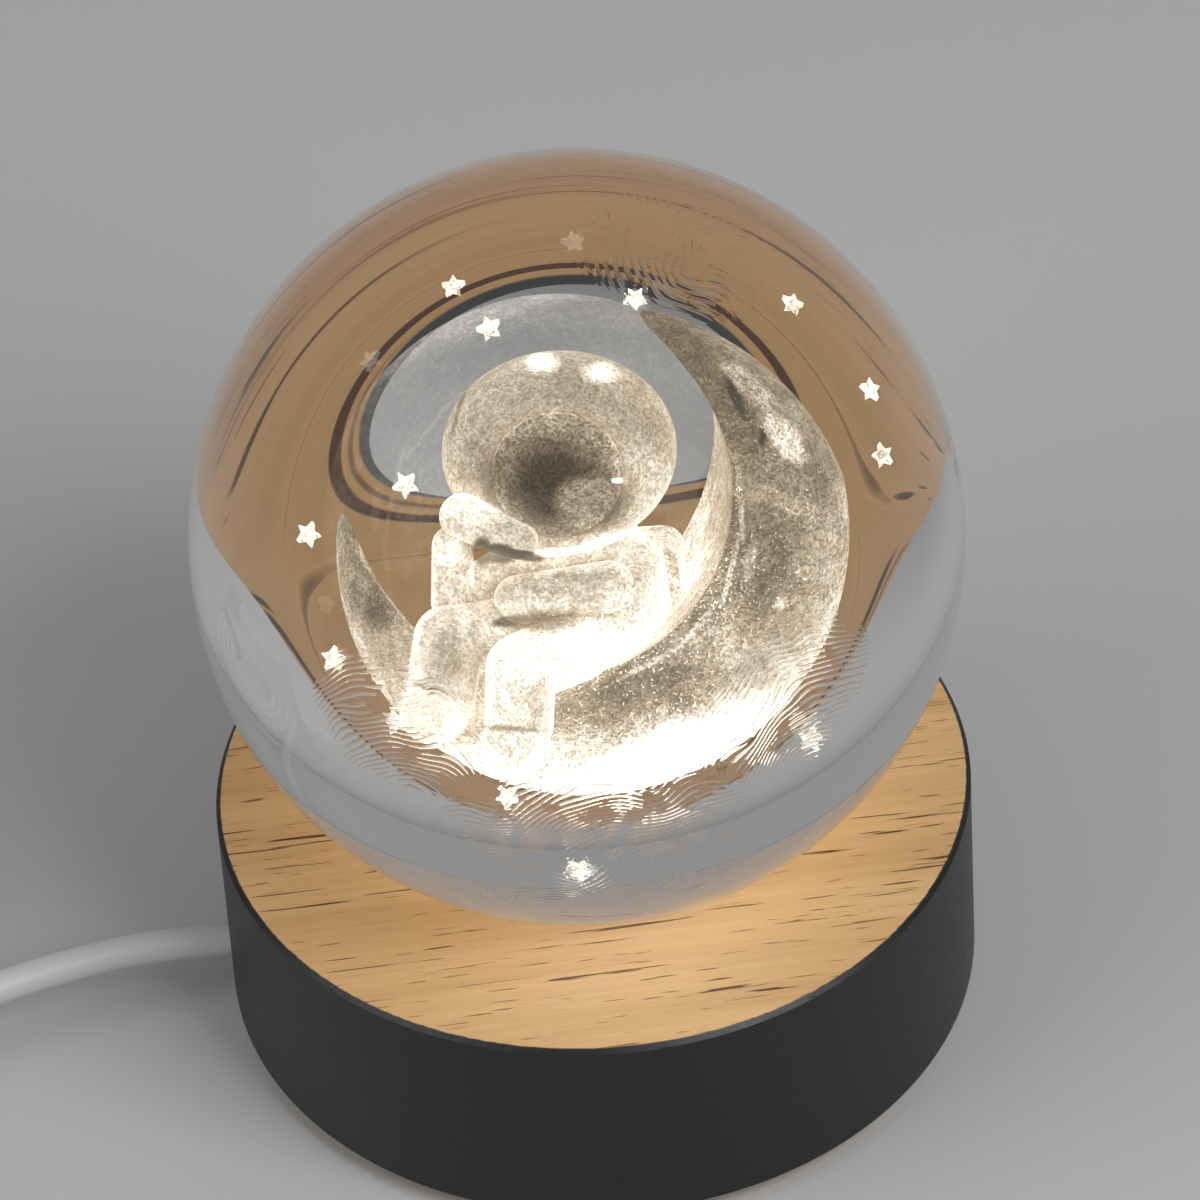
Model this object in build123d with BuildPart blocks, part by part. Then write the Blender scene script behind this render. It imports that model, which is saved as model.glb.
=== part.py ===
"""Astronaut night light: a solid crystal ball with an engraved picture, on a round wooden base with LEDs."""
import math
import os

from build123d import *

# Driving dimensions, in millimetres and degrees

# Ball and its seat
ball_diameter = 60.0
ball_sink = 4.0
seat_clearance = 0.15
ball_window_gap = 0.4

# Wooden base
base_overhang = 0.0
wood_height = 18.5
edge_break = 0.4
well_diameter = 22.0
pocket_wall = 1.75

# Light: window, board and what is on it
window_diameter = 26.0
window_thickness = 1.5
window_clearance = 0.2
board_diameter = 34.0
board_thickness = 1.6
led_count = 6
led_circle = 6.5
led_length = 3.5
led_width = 2.8
led_height = 1.6
led_gap = 0.5
resistor_length = 3.2
resistor_width = 1.6
resistor_height = 0.6
resistor_offset = 6.0
resistor_spacing = 5.0
solder_diameter = 2.4
solder_height = 0.9
solder_spread = 5.0
solder_offset = 6.5

# Screws
board_screw_count = 3
board_screw_angle = 30.0
board_screw_diameter = 2.0
board_screw_head = 3.8
board_screw_head_height = 1.4
board_screw_length = 6.0
cover_screw_count = 3
cover_screw_angle = 90.0
cover_screw_diameter = 2.5
cover_screw_head = 5.0
cover_screw_length = 8.0
screw_slot_width = 0.6
screw_slot_depth = 0.5
pilot_clearance = 0.05

# Underside
cover_rim = 3.5
cover_thickness = 2.0
cover_clearance = 0.2
cover_screw_edge = 0.5
foot_count = 4
foot_inset = 3.5
foot_diameter = 8.0
foot_height = 1.5
foot_edge = 0.4

# Cord, its way out of the wood and its cores
cord_diameter = 2.8
cord_clearance = 0.2
cord_web = 0.5
cord_y = -0.8
cord_inside = 4.0
cord_shown = 5.0
core_diameter = 1.1
core_spacing = 1.4
core_straight = 2.5
core_spread_bend = 3.0
core_rise_bend = 2.5
stop_tie_width = 2.4
stop_tie_head = 3.4
stop_tie_clearance = 0.05
stop_tie_standoff = 0.1

# Coil of the cord's put-away length
coil_centre_x = -80.0
coil_centre_y = 4.6
coil_radius = 23.0
coil_turns = 7.0 + 5.0 / 6.0
coil_start_angle = -60.0
coil_gap = 0.5
coil_spans = 32
coil_tie_thickness = 0.5
coil_tie_width = 4.0
coil_tie_clearance = 0.15
coil_tie_turn = 0.5

# Switch on the cord
switch_x = -85.0
switch_y = -28.5
switch_length = 38.0
switch_width = 14.0
switch_height = 11.0
switch_corner = 5.0
switch_edge = 1.2
switch_wall = 1.4
switch_cord_height = 4.6
switch_cord_inside = 6.0
rocker_length = 13.0
rocker_width = 7.0
rocker_rise = 0.5
rocker_dip = 1.2
rocker_drop = 1.8
rocker_foot = 7.0
rocker_gap = 0.4
rocker_throw = 9.0
rocker_pivot_depth = 2.4
rocker_pin_diameter = 2.0
rocker_pin_clearance = 0.15
rocker_lug = 1.8
bridge_length = 6.0
bridge_width = 3.0
bridge_thickness = 0.5
terminal_spacing = 10.0
terminal_width = 5.0
terminal_thickness = 0.6
terminal_foot = 3.0
terminal_height = 3.4
switch_boss_diameter = 4.2
switch_boss_x = 13.0
switch_boss_y = 3.3
switch_screw_diameter = 1.7
switch_screw_head = 3.0
switch_screw_head_height = 1.0
switch_screw_length = 7.0

# Plug on the cord's end
plug_x = -119.0
plug_y = -15.0
plug_width = 15.5
plug_thickness = 8.0
plug_length = 24.0
plug_corner = 2.5
plug_edge = 0.9
end_bend = 9.6
relief_length = 10.0
relief_end_diameter = 4.4
relief_root_diameter = 7.0
shell_width = 12.0
shell_height = 4.5
shell_wall = 0.3
shell_shown = 12.0
shell_hidden = 6.0
shell_clearance = 0.05
shell_window_width = 2.5
shell_window_length = 2.0
shell_window_spacing = 5.6
shell_window_from_tip = 5.2
tongue_thickness = 1.9
tongue_clearance = 0.05
tongue_setback = 0.6
contact_count = 4
contact_pitch = 2.4
contact_width = 1.1
contact_length = 8.0
contact_thickness = 0.15

# Engraved picture: it leans back in the ball, and its places are right, up and towards the viewer
picture_lean = 28.0
engraving_gap = 0.15
moon_radius = 13.5
moon_half_thickness = 6.8
moon_right = 0.45
moon_up = 0.35
moon_yaw = 11.0
moon_trim_radius = 14.5
moon_trim_half_thickness = 9.0
moon_trim_right = -0.64
moon_trim_up = -2.27
bite_radius = 10.4
bite_right = -2.95
bite_up = 3.65
crater_depth = 0.45
craters = [
    (8.6, 5.4, 1.4), (9.6, 1.2, 2.0), (7.4, -4.6, 1.3), (4.2, -9.2, 1.7), (10.2, -5.6, 0.9), (-10.6, -3.4, 1.1),
]
helmet_radius = 5.35
helmet_place = (-0.6, 5.2, 1.5)
ear_cap_radius = 3.2
ear_cap_offset = 3.05
visor_direction = (-0.06, -0.06, 0.98)
visor_radius = 3.8
visor_set_back = 0.2
visor_depth = 2.2
visor_rim = 0.3
pack_place = (3.4, -3.4, -0.7)
pack_size = (3.6, 6.0, 4.4)
pack_edge = 1.0
star_radius = 0.7
star_waist = 0.5
star_thickness = 0.6
star_turn = 17.0
star_places = [
    (-6.0, 15.0, 0), (-4.0, 12.0, 0), (4.1, 13.3, 0), (13.3, 13.0, 0), (17.2, 7.5, 0), (17.1, 3.5, 0),
    (-8.7, 3.4, 0), (-14.1, 1.1, 0), (-12.8, -5.6, 0), (-10.2, -8.7, 3.0), (-4.4, -13.0, 2.0), (-0.9, -17.1, 0),
    (11.2, -11.3, 0),
]

# Limbs of the engraved figure: both ends and the radius at each
limbs = [
    ((0.4, -0.9, 1.4), (0.6, -3.4, 1.4), 3.2, 3.9),
    ((3.0, -0.9, 2.8), (2.4, -2.2, 4.6), 1.5, 1.5),
    ((1.6, -1.6, 5.2), (-3.4, -1.9, 5.6), 1.45, 1.35),
    ((-3.0, -0.6, 2.4), (-6.9, -2.0, 4.4), 1.4, 1.2),
    ((-6.9, -1.9, 4.6), (-6.8, 1.1, 4.6), 1.2, 1.15),
    ((-6.2, 2.8, 4.8), (-3.2, 1.5, 6.0), 1.3, 1.1),
    ((-1.2, -4.0, 3.0), (-7.4, -3.9, 6.0), 2.0, 2.0),
    ((-7.4, -3.9, 6.0), (-8.0, -6.9, 6.0), 2.0, 1.95),
    ((-8.4, -7.8, 6.0), (-8.9, -8.0, 7.2), 1.9, 1.7),
    ((1.6, -4.2, 3.6), (-3.6, -5.4, 8.0), 2.1, 2.0),
    ((-3.6, -5.4, 8.0), (-3.9, -8.6, 7.8), 2.0, 1.95),
    ((-4.1, -9.6, 7.8), (-4.5, -9.8, 9.0), 1.95, 1.75),
]

# Heights and radii that follow from the sizes above
ball_radius = ball_diameter / 2
base_radius = ball_radius + base_overhang
cover_radius = base_radius - cover_rim
cover_screw_circle = cover_radius - cover_screw_head / 2 - cover_screw_edge
pocket_radius = cover_screw_circle - cover_screw_diameter / 2 - pocket_wall
foot_circle = cover_radius - foot_inset - foot_diameter / 2
cord_radius = cord_diameter / 2
base_bottom = foot_height
base_top = base_bottom + wood_height
ball_centre_z = base_top - ball_sink + ball_radius
window_top = base_top - ball_sink - ball_window_gap
board_top = window_top - window_thickness - led_gap - led_height
board_bottom = board_top - board_thickness
cover_top = base_bottom + cover_thickness
cord_hole_radius = cord_radius + cord_clearance
cord_z = cover_top + cord_web + cord_hole_radius
recess_radius = window_diameter / 2 + window_clearance
board_screw_circle = (recess_radius + board_diameter / 2) / 2
stop_tie_radius = cord_hole_radius + cord_web - stop_tie_standoff
stop_tie_x = stop_tie_standoff - math.sqrt(pocket_radius**2 - (stop_tie_radius - cord_y) ** 2)
cord_end_x = cord_inside - pocket_radius
cord_start_x = -math.sqrt(base_radius**2 - cord_y**2)
coil_pitch = cord_diameter + coil_gap
coil_low_z = cord_radius + coil_tie_thickness + coil_tie_clearance
coil_high_z = coil_low_z + coil_pitch
switch_end_x = switch_length / 2
plug_z = plug_thickness / 2
body_y = plug_y + relief_length
face_y = body_y + plug_length

picture_up = Vector(0, math.sin(math.radians(picture_lean)), math.cos(math.radians(picture_lean)))
picture = Plane(origin=(0, 0, ball_centre_z), x_dir=(1, 0, 0), z_dir=Vector(1, 0, 0).cross(picture_up))
parts = {}


def keep(name, piece):
    """Label a finished piece and keep it under its name."""
    piece.label = name
    parts[name] = piece


def in_picture(place):
    """A place of the engraved picture, in the lamp's own frame."""
    return picture.from_local_coords(Vector(*place))


def bend_radii(points):
    """One radius for each inner point of a cord's route, as large as its two runs allow."""
    radii = []
    for before, here, after in zip(points, points[1:], points[2:]):
        run_in = here - before
        run_out = after - here
        half_turn = math.radians(run_in.get_angle(run_out)) / 2
        radii.append(0.45 * min(run_in.length, run_out.length) / math.tan(half_turn))
    return radii


def tube(name, points, radii, diameter):
    """A round cord along straight runs that are joined by tangent arcs."""
    with BuildLine() as route:
        FilletPolyline(*points, radius=radii)
    path = route.wire()
    with BuildPart() as cord:
        with BuildSketch(Plane(origin=path @ 0, z_dir=path % 0)):
            Circle(diameter / 2)
        sweep(path=path)
    share = cord.part.volume / (math.pi * diameter**2 / 4 * path.length)
    bends = ", ".join(f"{radius:.1f}" for radius in radii)
    print(f"{name}: {path.length:.1f} mm, bend radii {bends}, volume {share:.4f} of section times length")
    return cord.part


def slotted_screw(profile, head_diameter):
    """A turned screw from a half profile of (radius, height), its head down and slotted."""
    with BuildPart() as screw:
        with BuildSketch(Plane.XZ):
            with BuildLine():
                Polyline(*profile, close=True)
            make_face()
        revolve(axis=Axis.Z)
        with BuildSketch(Plane.XY):
            Rectangle(head_diameter, screw_slot_width)
        extrude(amount=screw_slot_depth, mode=Mode.SUBTRACT)
    return screw.part


# Crystal ball
with BuildPart() as crystal_ball:
    with Locations((0, 0, ball_centre_z)):
        Sphere(ball_radius)
keep("crystal_ball", crystal_ball.part)


def lens_radii(radius, half_thickness):
    """The radii of a lens's rounded rim and of the two shallow caps that run into it."""
    rim = half_thickness**2 / radius
    cap = ((radius - rim) ** 2 + half_thickness**2 - rim**2) / (2 * (half_thickness - rim))
    return rim, cap


def lens(centre, facing, radius, half_thickness, grown):
    """A solid like a flattened ball, thickest in the middle and thin at its rim, grown by a clearance."""
    rim, cap = lens_radii(radius, half_thickness)
    lean = math.degrees(math.atan2(radius - rim, cap - half_thickness))
    top = half_thickness + grown
    with BuildPart() as body:
        side = picture.y_dir.cross(facing)
        with BuildSketch(Plane(origin=centre, x_dir=side, z_dir=side.cross(facing))):
            with BuildLine():
                CenterArc((0, cap - half_thickness), cap + grown, -90, lean)
                CenterArc((radius - rim, 0), rim + grown, lean - 90, 180 - 2 * lean)
                CenterArc((0, half_thickness - cap), cap + grown, 90 - lean, lean)
                Line((0, top), (0, -top))
            make_face()
        revolve(axis=Axis(centre, facing))
    return body.part


def lens_height(radius, half_thickness, right, up):
    """How far a lens's cap stands above its middle plane at a place."""
    cap = lens_radii(radius, half_thickness)[1]
    return math.sqrt(cap**2 - right**2 - up**2) - cap + half_thickness


def crescent(grown):
    """The crescent moon, or the same shape grown by a clearance to cut its neighbours with."""
    yaw = math.radians(moon_yaw)
    facing = picture.z_dir * math.cos(yaw) + picture.x_dir * math.sin(yaw)
    face = Plane(origin=in_picture((moon_right, moon_up, 0)), x_dir=picture.y_dir.cross(facing), z_dir=facing)
    trim_centre = face.from_local_coords(Vector(moon_trim_right, moon_trim_up, 0))
    with BuildPart() as moon:
        add(lens(face.origin, facing, moon_radius, moon_half_thickness, grown))
        add(
            lens(trim_centre, facing, moon_trim_radius, moon_trim_half_thickness, grown),
            mode=Mode.INTERSECT,
        )
        with BuildSketch(face):
            with Locations((bite_right, bite_up)):
                Circle(bite_radius - grown)
        extrude(amount=2 * moon_half_thickness, both=True, mode=Mode.SUBTRACT)
    return face, moon.part


# Engraved moon, with shallow craters on its face
moon_face, moon_body = crescent(0)
with BuildPart() as engraved_moon:
    add(moon_body)
    for right, up, radius in craters:
        bulge = min(
            lens_height(moon_radius, moon_half_thickness, right, up),
            lens_height(moon_trim_radius, moon_trim_half_thickness, right - moon_trim_right, up - moon_trim_up),
        )
        with Locations(moon_face.from_local_coords(Vector(right, up, bulge + radius - crater_depth))):
            Sphere(radius, mode=Mode.SUBTRACT)
keep("engraved_moon", engraved_moon.part)
moon_cutter = crescent(engraving_gap)[1]

# Engraved helmet and visor
helmet_centre = in_picture(helmet_place)
look = picture.from_local_coords(Vector(*visor_direction)) - picture.origin
visor_plane = Plane(origin=helmet_centre, x_dir=picture.x_dir, z_dir=look.normalized())
ear_centres = [helmet_centre - ear_cap_offset * picture.x_dir, helmet_centre + ear_cap_offset * picture.x_dir]
rim_height = math.sqrt(helmet_radius**2 - visor_radius**2)
visor_floor = helmet_radius - visor_depth
with BuildPart() as engraved_helmet:
    with Locations(helmet_centre):
        Sphere(helmet_radius)
    with Locations(*ear_centres):
        Sphere(ear_cap_radius)
    with Locations(visor_plane.offset(rim_height)):
        Torus(visor_radius + visor_rim / 2, visor_rim)
    with BuildSketch(visor_plane.offset(visor_floor)):
        Circle(visor_radius)
    extrude(amount=helmet_radius, mode=Mode.SUBTRACT)
keep("engraved_helmet", engraved_helmet.part)

with BuildPart() as engraved_visor:
    with Locations(helmet_centre):
        Sphere(helmet_radius - visor_set_back)
    with BuildSketch(visor_plane.offset(visor_floor + engraving_gap)):
        Circle(visor_radius - engraving_gap)
    extrude(amount=helmet_radius, mode=Mode.INTERSECT)
keep("engraved_visor", engraved_visor.part)

# Engraved suit: body, arms, legs and boots, cut where the helmet and the moon are
with BuildPart() as engraved_suit:
    for start, end, start_radius, end_radius in limbs:
        first = in_picture(start)
        along = in_picture(end) - first
        side = along.cross(picture.z_dir if abs(along.normalized().dot(picture.z_dir)) < 0.9 else picture.y_dir)
        with BuildSketch(Plane(origin=first, x_dir=along, z_dir=side)):
            with BuildLine():
                Line((-start_radius, 0), (along.length + end_radius, 0))
                CenterArc((along.length, 0), end_radius, 0, 90)
                Line((along.length, end_radius), (0, start_radius))
                CenterArc((0, 0), start_radius, 90, 90)
            make_face()
        revolve(axis=Axis(first, along))
    add(moon_cutter, mode=Mode.SUBTRACT)
    with Locations(helmet_centre):
        Sphere(helmet_radius + visor_rim + engraving_gap, mode=Mode.SUBTRACT)
    with Locations(*ear_centres):
        Sphere(ear_cap_radius + engraving_gap, mode=Mode.SUBTRACT)
keep("engraved_suit", engraved_suit.part)

# Engraved backpack, cut where the body and the moon are
back_first = in_picture(limbs[0][0])
back_last = in_picture(limbs[0][1])
with BuildPart() as engraved_backpack:
    with BuildSketch(Plane(origin=in_picture(pack_place), x_dir=picture.x_dir, z_dir=picture.z_dir)):
        RectangleRounded(pack_size[0], pack_size[1], pack_edge)
    extrude(amount=pack_size[2] / 2, both=True)
    body_radius = max(limbs[0][2:]) + engraving_gap
    body_plane = Plane(origin=back_first, z_dir=back_last - back_first)
    with BuildSketch(body_plane.offset(-pack_size[1])):
        Circle(body_radius)
    extrude(amount=3 * pack_size[1], mode=Mode.SUBTRACT)
    with Locations(helmet_centre):
        Sphere(helmet_radius + visor_rim + engraving_gap, mode=Mode.SUBTRACT)
    add(moon_cutter, mode=Mode.SUBTRACT)
keep("engraved_backpack", engraved_backpack.part)

# Engraved stars, each turned a little further than the last
with BuildPart() as engraved_stars:
    for index, (right, up, front) in enumerate(star_places):
        corners = []
        for corner in range(10):
            radius = star_radius if corner % 2 == 0 else star_waist * star_radius
            angle = math.radians(90 + 36 * corner + star_turn * index)
            corners.append((right + radius * math.cos(angle), up + radius * math.sin(angle)))
        with BuildSketch(picture.offset(front)):
            with BuildLine():
                Polyline(*corners, close=True)
            make_face()
        extrude(amount=star_thickness / 2, both=True)
    add(moon_cutter, mode=Mode.SUBTRACT)
keep("engraved_stars", engraved_stars.part)

# Wooden base: puck, dished seat, light well, window recess, pocket, rebate and holes
with BuildPart() as wood_base:
    with BuildSketch(Plane.XY.offset(base_bottom)):
        Circle(base_radius)
    extrude(amount=wood_height)
    chamfer(wood_base.edges().filter_by(GeomType.CIRCLE), length=edge_break)
    with Locations((0, 0, ball_centre_z)):
        Sphere(ball_radius + seat_clearance, mode=Mode.SUBTRACT)
    with BuildSketch(Plane.XY.offset(board_top)):
        Circle(well_diameter / 2)
    extrude(amount=base_top - board_top, mode=Mode.SUBTRACT)
    with BuildSketch(Plane.XY.offset(board_top)):
        Circle(recess_radius)
    extrude(amount=window_top - board_top, mode=Mode.SUBTRACT)
    with BuildSketch(Plane.XY.offset(base_bottom)):
        Circle(pocket_radius)
    extrude(amount=board_top - base_bottom, mode=Mode.SUBTRACT)
    with BuildSketch(Plane.XY.offset(base_bottom)):
        Circle(cover_radius + cover_clearance)
    extrude(amount=cover_thickness, mode=Mode.SUBTRACT)
    with BuildSketch(Plane.YZ.offset(-base_radius)):
        with Locations((cord_y, cord_z)):
            Circle(cord_hole_radius)
    extrude(amount=base_radius, mode=Mode.SUBTRACT)
    with BuildSketch(Plane.XY.offset(board_top)):
        with PolarLocations(board_screw_circle, board_screw_count, start_angle=board_screw_angle):
            Circle(board_screw_diameter / 2 + pilot_clearance)
    extrude(amount=board_screw_length - board_thickness + pilot_clearance, mode=Mode.SUBTRACT)
    with BuildSketch(Plane.XY.offset(cover_top)):
        with PolarLocations(cover_screw_circle, cover_screw_count, start_angle=cover_screw_angle):
            Circle(cover_screw_diameter / 2 + pilot_clearance)
    extrude(amount=cover_screw_length - cover_thickness + pilot_clearance, mode=Mode.SUBTRACT)
keep("wood_base", wood_base.part)

# Clear window under the ball
with BuildPart() as light_window:
    with BuildSketch(Plane.XY.offset(window_top - window_thickness)):
        Circle(window_diameter / 2)
    extrude(amount=window_thickness)
keep("light_window", light_window.part)

# Circuit board against the pocket's ceiling, with its LEDs up and its resistors and solder down
with BuildPart() as led_board:
    with BuildSketch(Plane.XY.offset(board_bottom)):
        Circle(board_diameter / 2)
        with PolarLocations(board_screw_circle, board_screw_count, start_angle=board_screw_angle):
            Circle(board_screw_diameter / 2 + pilot_clearance, mode=Mode.SUBTRACT)
    extrude(amount=board_thickness)
keep("led_board", led_board.part)

with BuildPart() as leds:
    with BuildSketch(Plane.XY.offset(board_top)):
        with PolarLocations(led_circle, led_count):
            Rectangle(led_width, led_length)
    extrude(amount=led_height)
keep("leds", leds.part)

with BuildPart() as resistors:
    with BuildSketch(Plane.XY.offset(board_bottom)):
        with Locations((resistor_offset, resistor_spacing / 2), (resistor_offset, -resistor_spacing / 2)):
            Rectangle(resistor_length, resistor_width)
    extrude(amount=-resistor_height)
keep("resistors", resistors.part)

with BuildPart() as solder_joints:
    for sign in (1, -1):
        with Locations((-solder_offset, sign * solder_spread / 2, board_bottom - solder_height / 2)):
            Cone(core_diameter / 2, solder_diameter / 2, solder_height)
keep("solder_joints", solder_joints.part)

# Screws of the board, heads down
board_screw_profile = [
    (0, 0), (board_screw_head / 2, 0), (board_screw_head / 2, board_screw_head_height),
    (board_screw_diameter / 2, board_screw_head_height),
    (board_screw_diameter / 2, board_screw_head_height + board_screw_length),
    (0, board_screw_head_height + board_screw_length),
]
board_screw = slotted_screw(board_screw_profile, board_screw_head)
with BuildPart(Plane.XY.offset(board_bottom - board_screw_head_height)) as board_screws:
    with PolarLocations(board_screw_circle, board_screw_count, start_angle=board_screw_angle):
        add(board_screw)
keep("board_screws", board_screws.part)

# Bottom cover in its rebate, and its countersunk screws
countersink_depth = (cover_screw_head - cover_screw_diameter) / 2
with BuildPart() as bottom_cover:
    with BuildSketch(Plane.XY.offset(base_bottom)):
        Circle(cover_radius)
    extrude(amount=cover_thickness)
    with Locations(Plane(origin=(0, 0, base_bottom), x_dir=(1, 0, 0), z_dir=(0, 0, -1))):
        with PolarLocations(cover_screw_circle, cover_screw_count, start_angle=-cover_screw_angle):
            CounterSinkHole(
                radius=cover_screw_diameter / 2 + pilot_clearance,
                counter_sink_radius=cover_screw_head / 2 + pilot_clearance,
                counter_sink_angle=90,
            )
keep("bottom_cover", bottom_cover.part)

cover_screw_profile = [
    (0, 0), (cover_screw_head / 2, 0), (cover_screw_diameter / 2, countersink_depth),
    (cover_screw_diameter / 2, cover_screw_length), (0, cover_screw_length),
]
cover_screw = slotted_screw(cover_screw_profile, cover_screw_head)
with BuildPart(Plane.XY.offset(base_bottom)) as cover_screws:
    with PolarLocations(cover_screw_circle, cover_screw_count, start_angle=cover_screw_angle):
        add(cover_screw)
keep("cover_screws", cover_screws.part)

# Rubber feet under the cover
with BuildPart() as rubber_feet:
    with BuildSketch(Plane.XY):
        with PolarLocations(foot_circle, foot_count, start_angle=180 / foot_count):
            Circle(foot_diameter / 2)
    extrude(amount=foot_height)
    fillet(rubber_feet.edges().filter_by(GeomType.CIRCLE).group_by(Axis.Z)[0], radius=foot_edge)
keep("rubber_feet", rubber_feet.part)

# Cord's end in the wood, with the tie that stops it, and its two cores
with BuildPart() as cord_inner_end:
    with BuildSketch(Plane.YZ.offset(cord_start_x)):
        with Locations((cord_y, cord_z)):
            Circle(cord_radius)
    extrude(amount=cord_end_x - cord_start_x)
keep("cord_inner_end", cord_inner_end.part)

with BuildPart() as cord_stop_tie:
    with BuildSketch(Plane.YZ.offset(stop_tie_x)):
        with Locations((cord_y, cord_z)):
            Circle(stop_tie_radius)
        with Locations((cord_y, cord_z + stop_tie_radius)):
            Rectangle(stop_tie_head, stop_tie_head / 2)
        with Locations((cord_y, cord_z)):
            Circle(cord_radius + stop_tie_clearance, mode=Mode.SUBTRACT)
    extrude(amount=stop_tie_width)
keep("cord_stop_tie", cord_stop_tie.part)

for name, sign in (("wire_red", 1), ("wire_black", -1)):
    core_y = cord_y + sign * core_spacing / 2
    pad_y = sign * solder_spread / 2
    core_points = [
        Vector(cord_end_x, core_y, cord_z),
        Vector(cord_end_x + core_straight, core_y, cord_z),
        Vector(-solder_offset, pad_y, cord_z),
        Vector(-solder_offset, pad_y, board_bottom - solder_height),
    ]
    keep(name, tube(name, core_points, [core_spread_bend, core_rise_bend], core_diameter))


def coil_place(turn):
    """Radius and height of the coil's centreline after so many turns.

    The upper layer winds inwards at a steady rate. In the half turn where the spiral reverses,
    the cord goes down a layer, and the lower layer winds outwards at the same rate.
    """
    reversal = coil_turns / 2 - 0.25
    if turn < reversal:
        return coil_radius - coil_pitch * turn, coil_high_z
    if turn > reversal + 0.5:
        return coil_radius - coil_pitch * (coil_turns - turn), coil_low_z
    phase = 2 * math.pi * (turn - reversal)
    radius = coil_radius - coil_pitch * reversal - coil_pitch / (2 * math.pi) * math.sin(phase)
    return radius, (coil_high_z + coil_low_z) / 2 + coil_pitch / 2 * math.cos(phase)


def coil_point(turn):
    """A point of the coil's centreline, which winds clockwise seen from above."""
    radius, height = coil_place(turn)
    angle = math.radians(coil_start_angle - 360 * turn)
    return Vector(coil_centre_x + radius * math.cos(angle), coil_centre_y + radius * math.sin(angle), height)


def coil_direction(turn):
    """The direction of the coil's centreline."""
    radius, _ = coil_place(turn)
    angle = math.radians(coil_start_angle - 360 * turn)
    if turn <= 0 or turn >= coil_turns:
        return Vector(math.sin(angle), -math.cos(angle), 0)
    step = 1e-4
    return (coil_point(turn + step) - coil_point(turn - step)).normalized()


# Coil: each span is two tangent arcs, and both ends run straight for one diameter
turns = [coil_turns * index / coil_spans for index in range(coil_spans + 1)]
lead_in = coil_point(0) - coil_direction(0) * cord_diameter
lead_out = coil_point(coil_turns) + coil_direction(coil_turns) * cord_diameter
with BuildLine() as coil_path:
    Line(lead_in, coil_point(0))
    for turn, next_turn in zip(turns, turns[1:]):
        start = coil_point(turn)
        end = coil_point(next_turn)
        out = coil_direction(turn)
        into = coil_direction(next_turn)
        chord = end - start
        square = 2 * (out.dot(into) - 1)
        linear = -2 * chord.dot(out + into)
        reach = (-linear - math.sqrt(linear**2 - 4 * square * chord.dot(chord))) / (2 * square)
        reach = abs(reach)
        middle = (start + out * reach + end - into * reach) * 0.5
        TangentArc(start, middle, tangent=out)
        TangentArc(middle, end, tangent=(end - into * reach) - (start + out * reach))
    Line(coil_point(coil_turns), lead_out)
coil_wire = coil_path.wire()
with BuildPart() as cord_coil:
    with BuildSketch(Plane(origin=coil_wire @ 0, z_dir=coil_wire % 0)):
        Circle(cord_radius)
    sweep(path=coil_wire)
keep("cord_coil", cord_coil.part)
coil_samples = [coil_point(coil_turns * index / 400) for index in range(401)]
half_turn = int(400 / coil_turns / 2)
least = min(
    (one - other).length
    for index, one in enumerate(coil_samples)
    for other in coil_samples[index + half_turn:]
)
share = cord_coil.part.volume / (math.pi * cord_radius**2 * coil_wire.length)
print(f"cord_coil: {coil_wire.length:.1f} mm, least gap {least - cord_diameter:.2f} mm, volume {share:.4f}")
print(f"cord_coil: starts {lead_in}, ends {lead_out}")

# Free stretches of the cord, each straight where it meets its neighbours, with points chosen by hand between
lead_points = [
    Vector(cord_start_x, cord_y, cord_z),
    Vector(cord_start_x - cord_shown, cord_y, cord_z),
    Vector(-41.0, -1.9, 5.6),
    Vector(-48.2, -4.3, 5.6),
    Vector(-54.8, -7.4, 5.5),
    lead_in - coil_direction(0) * cord_shown,
    lead_in,
]
tail_points = [
    lead_out,
    lead_out + coil_direction(coil_turns) * cord_shown,
    Vector(-56.6, -11.5, 1.7),
    Vector(-56.6, -19.0, 2.3),
    Vector(-59.0, -24.6, 3.3),
    Vector(-64.4, switch_y, switch_cord_height),
    Vector(switch_x + switch_end_x - switch_cord_inside, switch_y, switch_cord_height),
]
end_corners = []
for angle in (195, 225, 255):
    reach = end_bend / math.cos(math.radians(15))
    corner_x = plug_x + end_bend + reach * math.cos(math.radians(angle))
    corner_y = switch_y + end_bend + reach * math.sin(math.radians(angle))
    end_corners.append((corner_x, corner_y))
end_points = [
    Vector(switch_x - switch_end_x + switch_cord_inside, switch_y, switch_cord_height),
    Vector(*end_corners[2], switch_cord_height),
    Vector(*end_corners[1], (switch_cord_height + plug_z) / 2),
    Vector(*end_corners[0], plug_z),
    Vector(plug_x, plug_y, plug_z),
]
keep("cord_lead", tube("cord_lead", lead_points, bend_radii(lead_points), cord_diameter))
keep("cord_tail", tube("cord_tail", tail_points, bend_radii(tail_points), cord_diameter))
keep("cord_end", tube("cord_end", end_points, bend_radii(end_points), cord_diameter))

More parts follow.
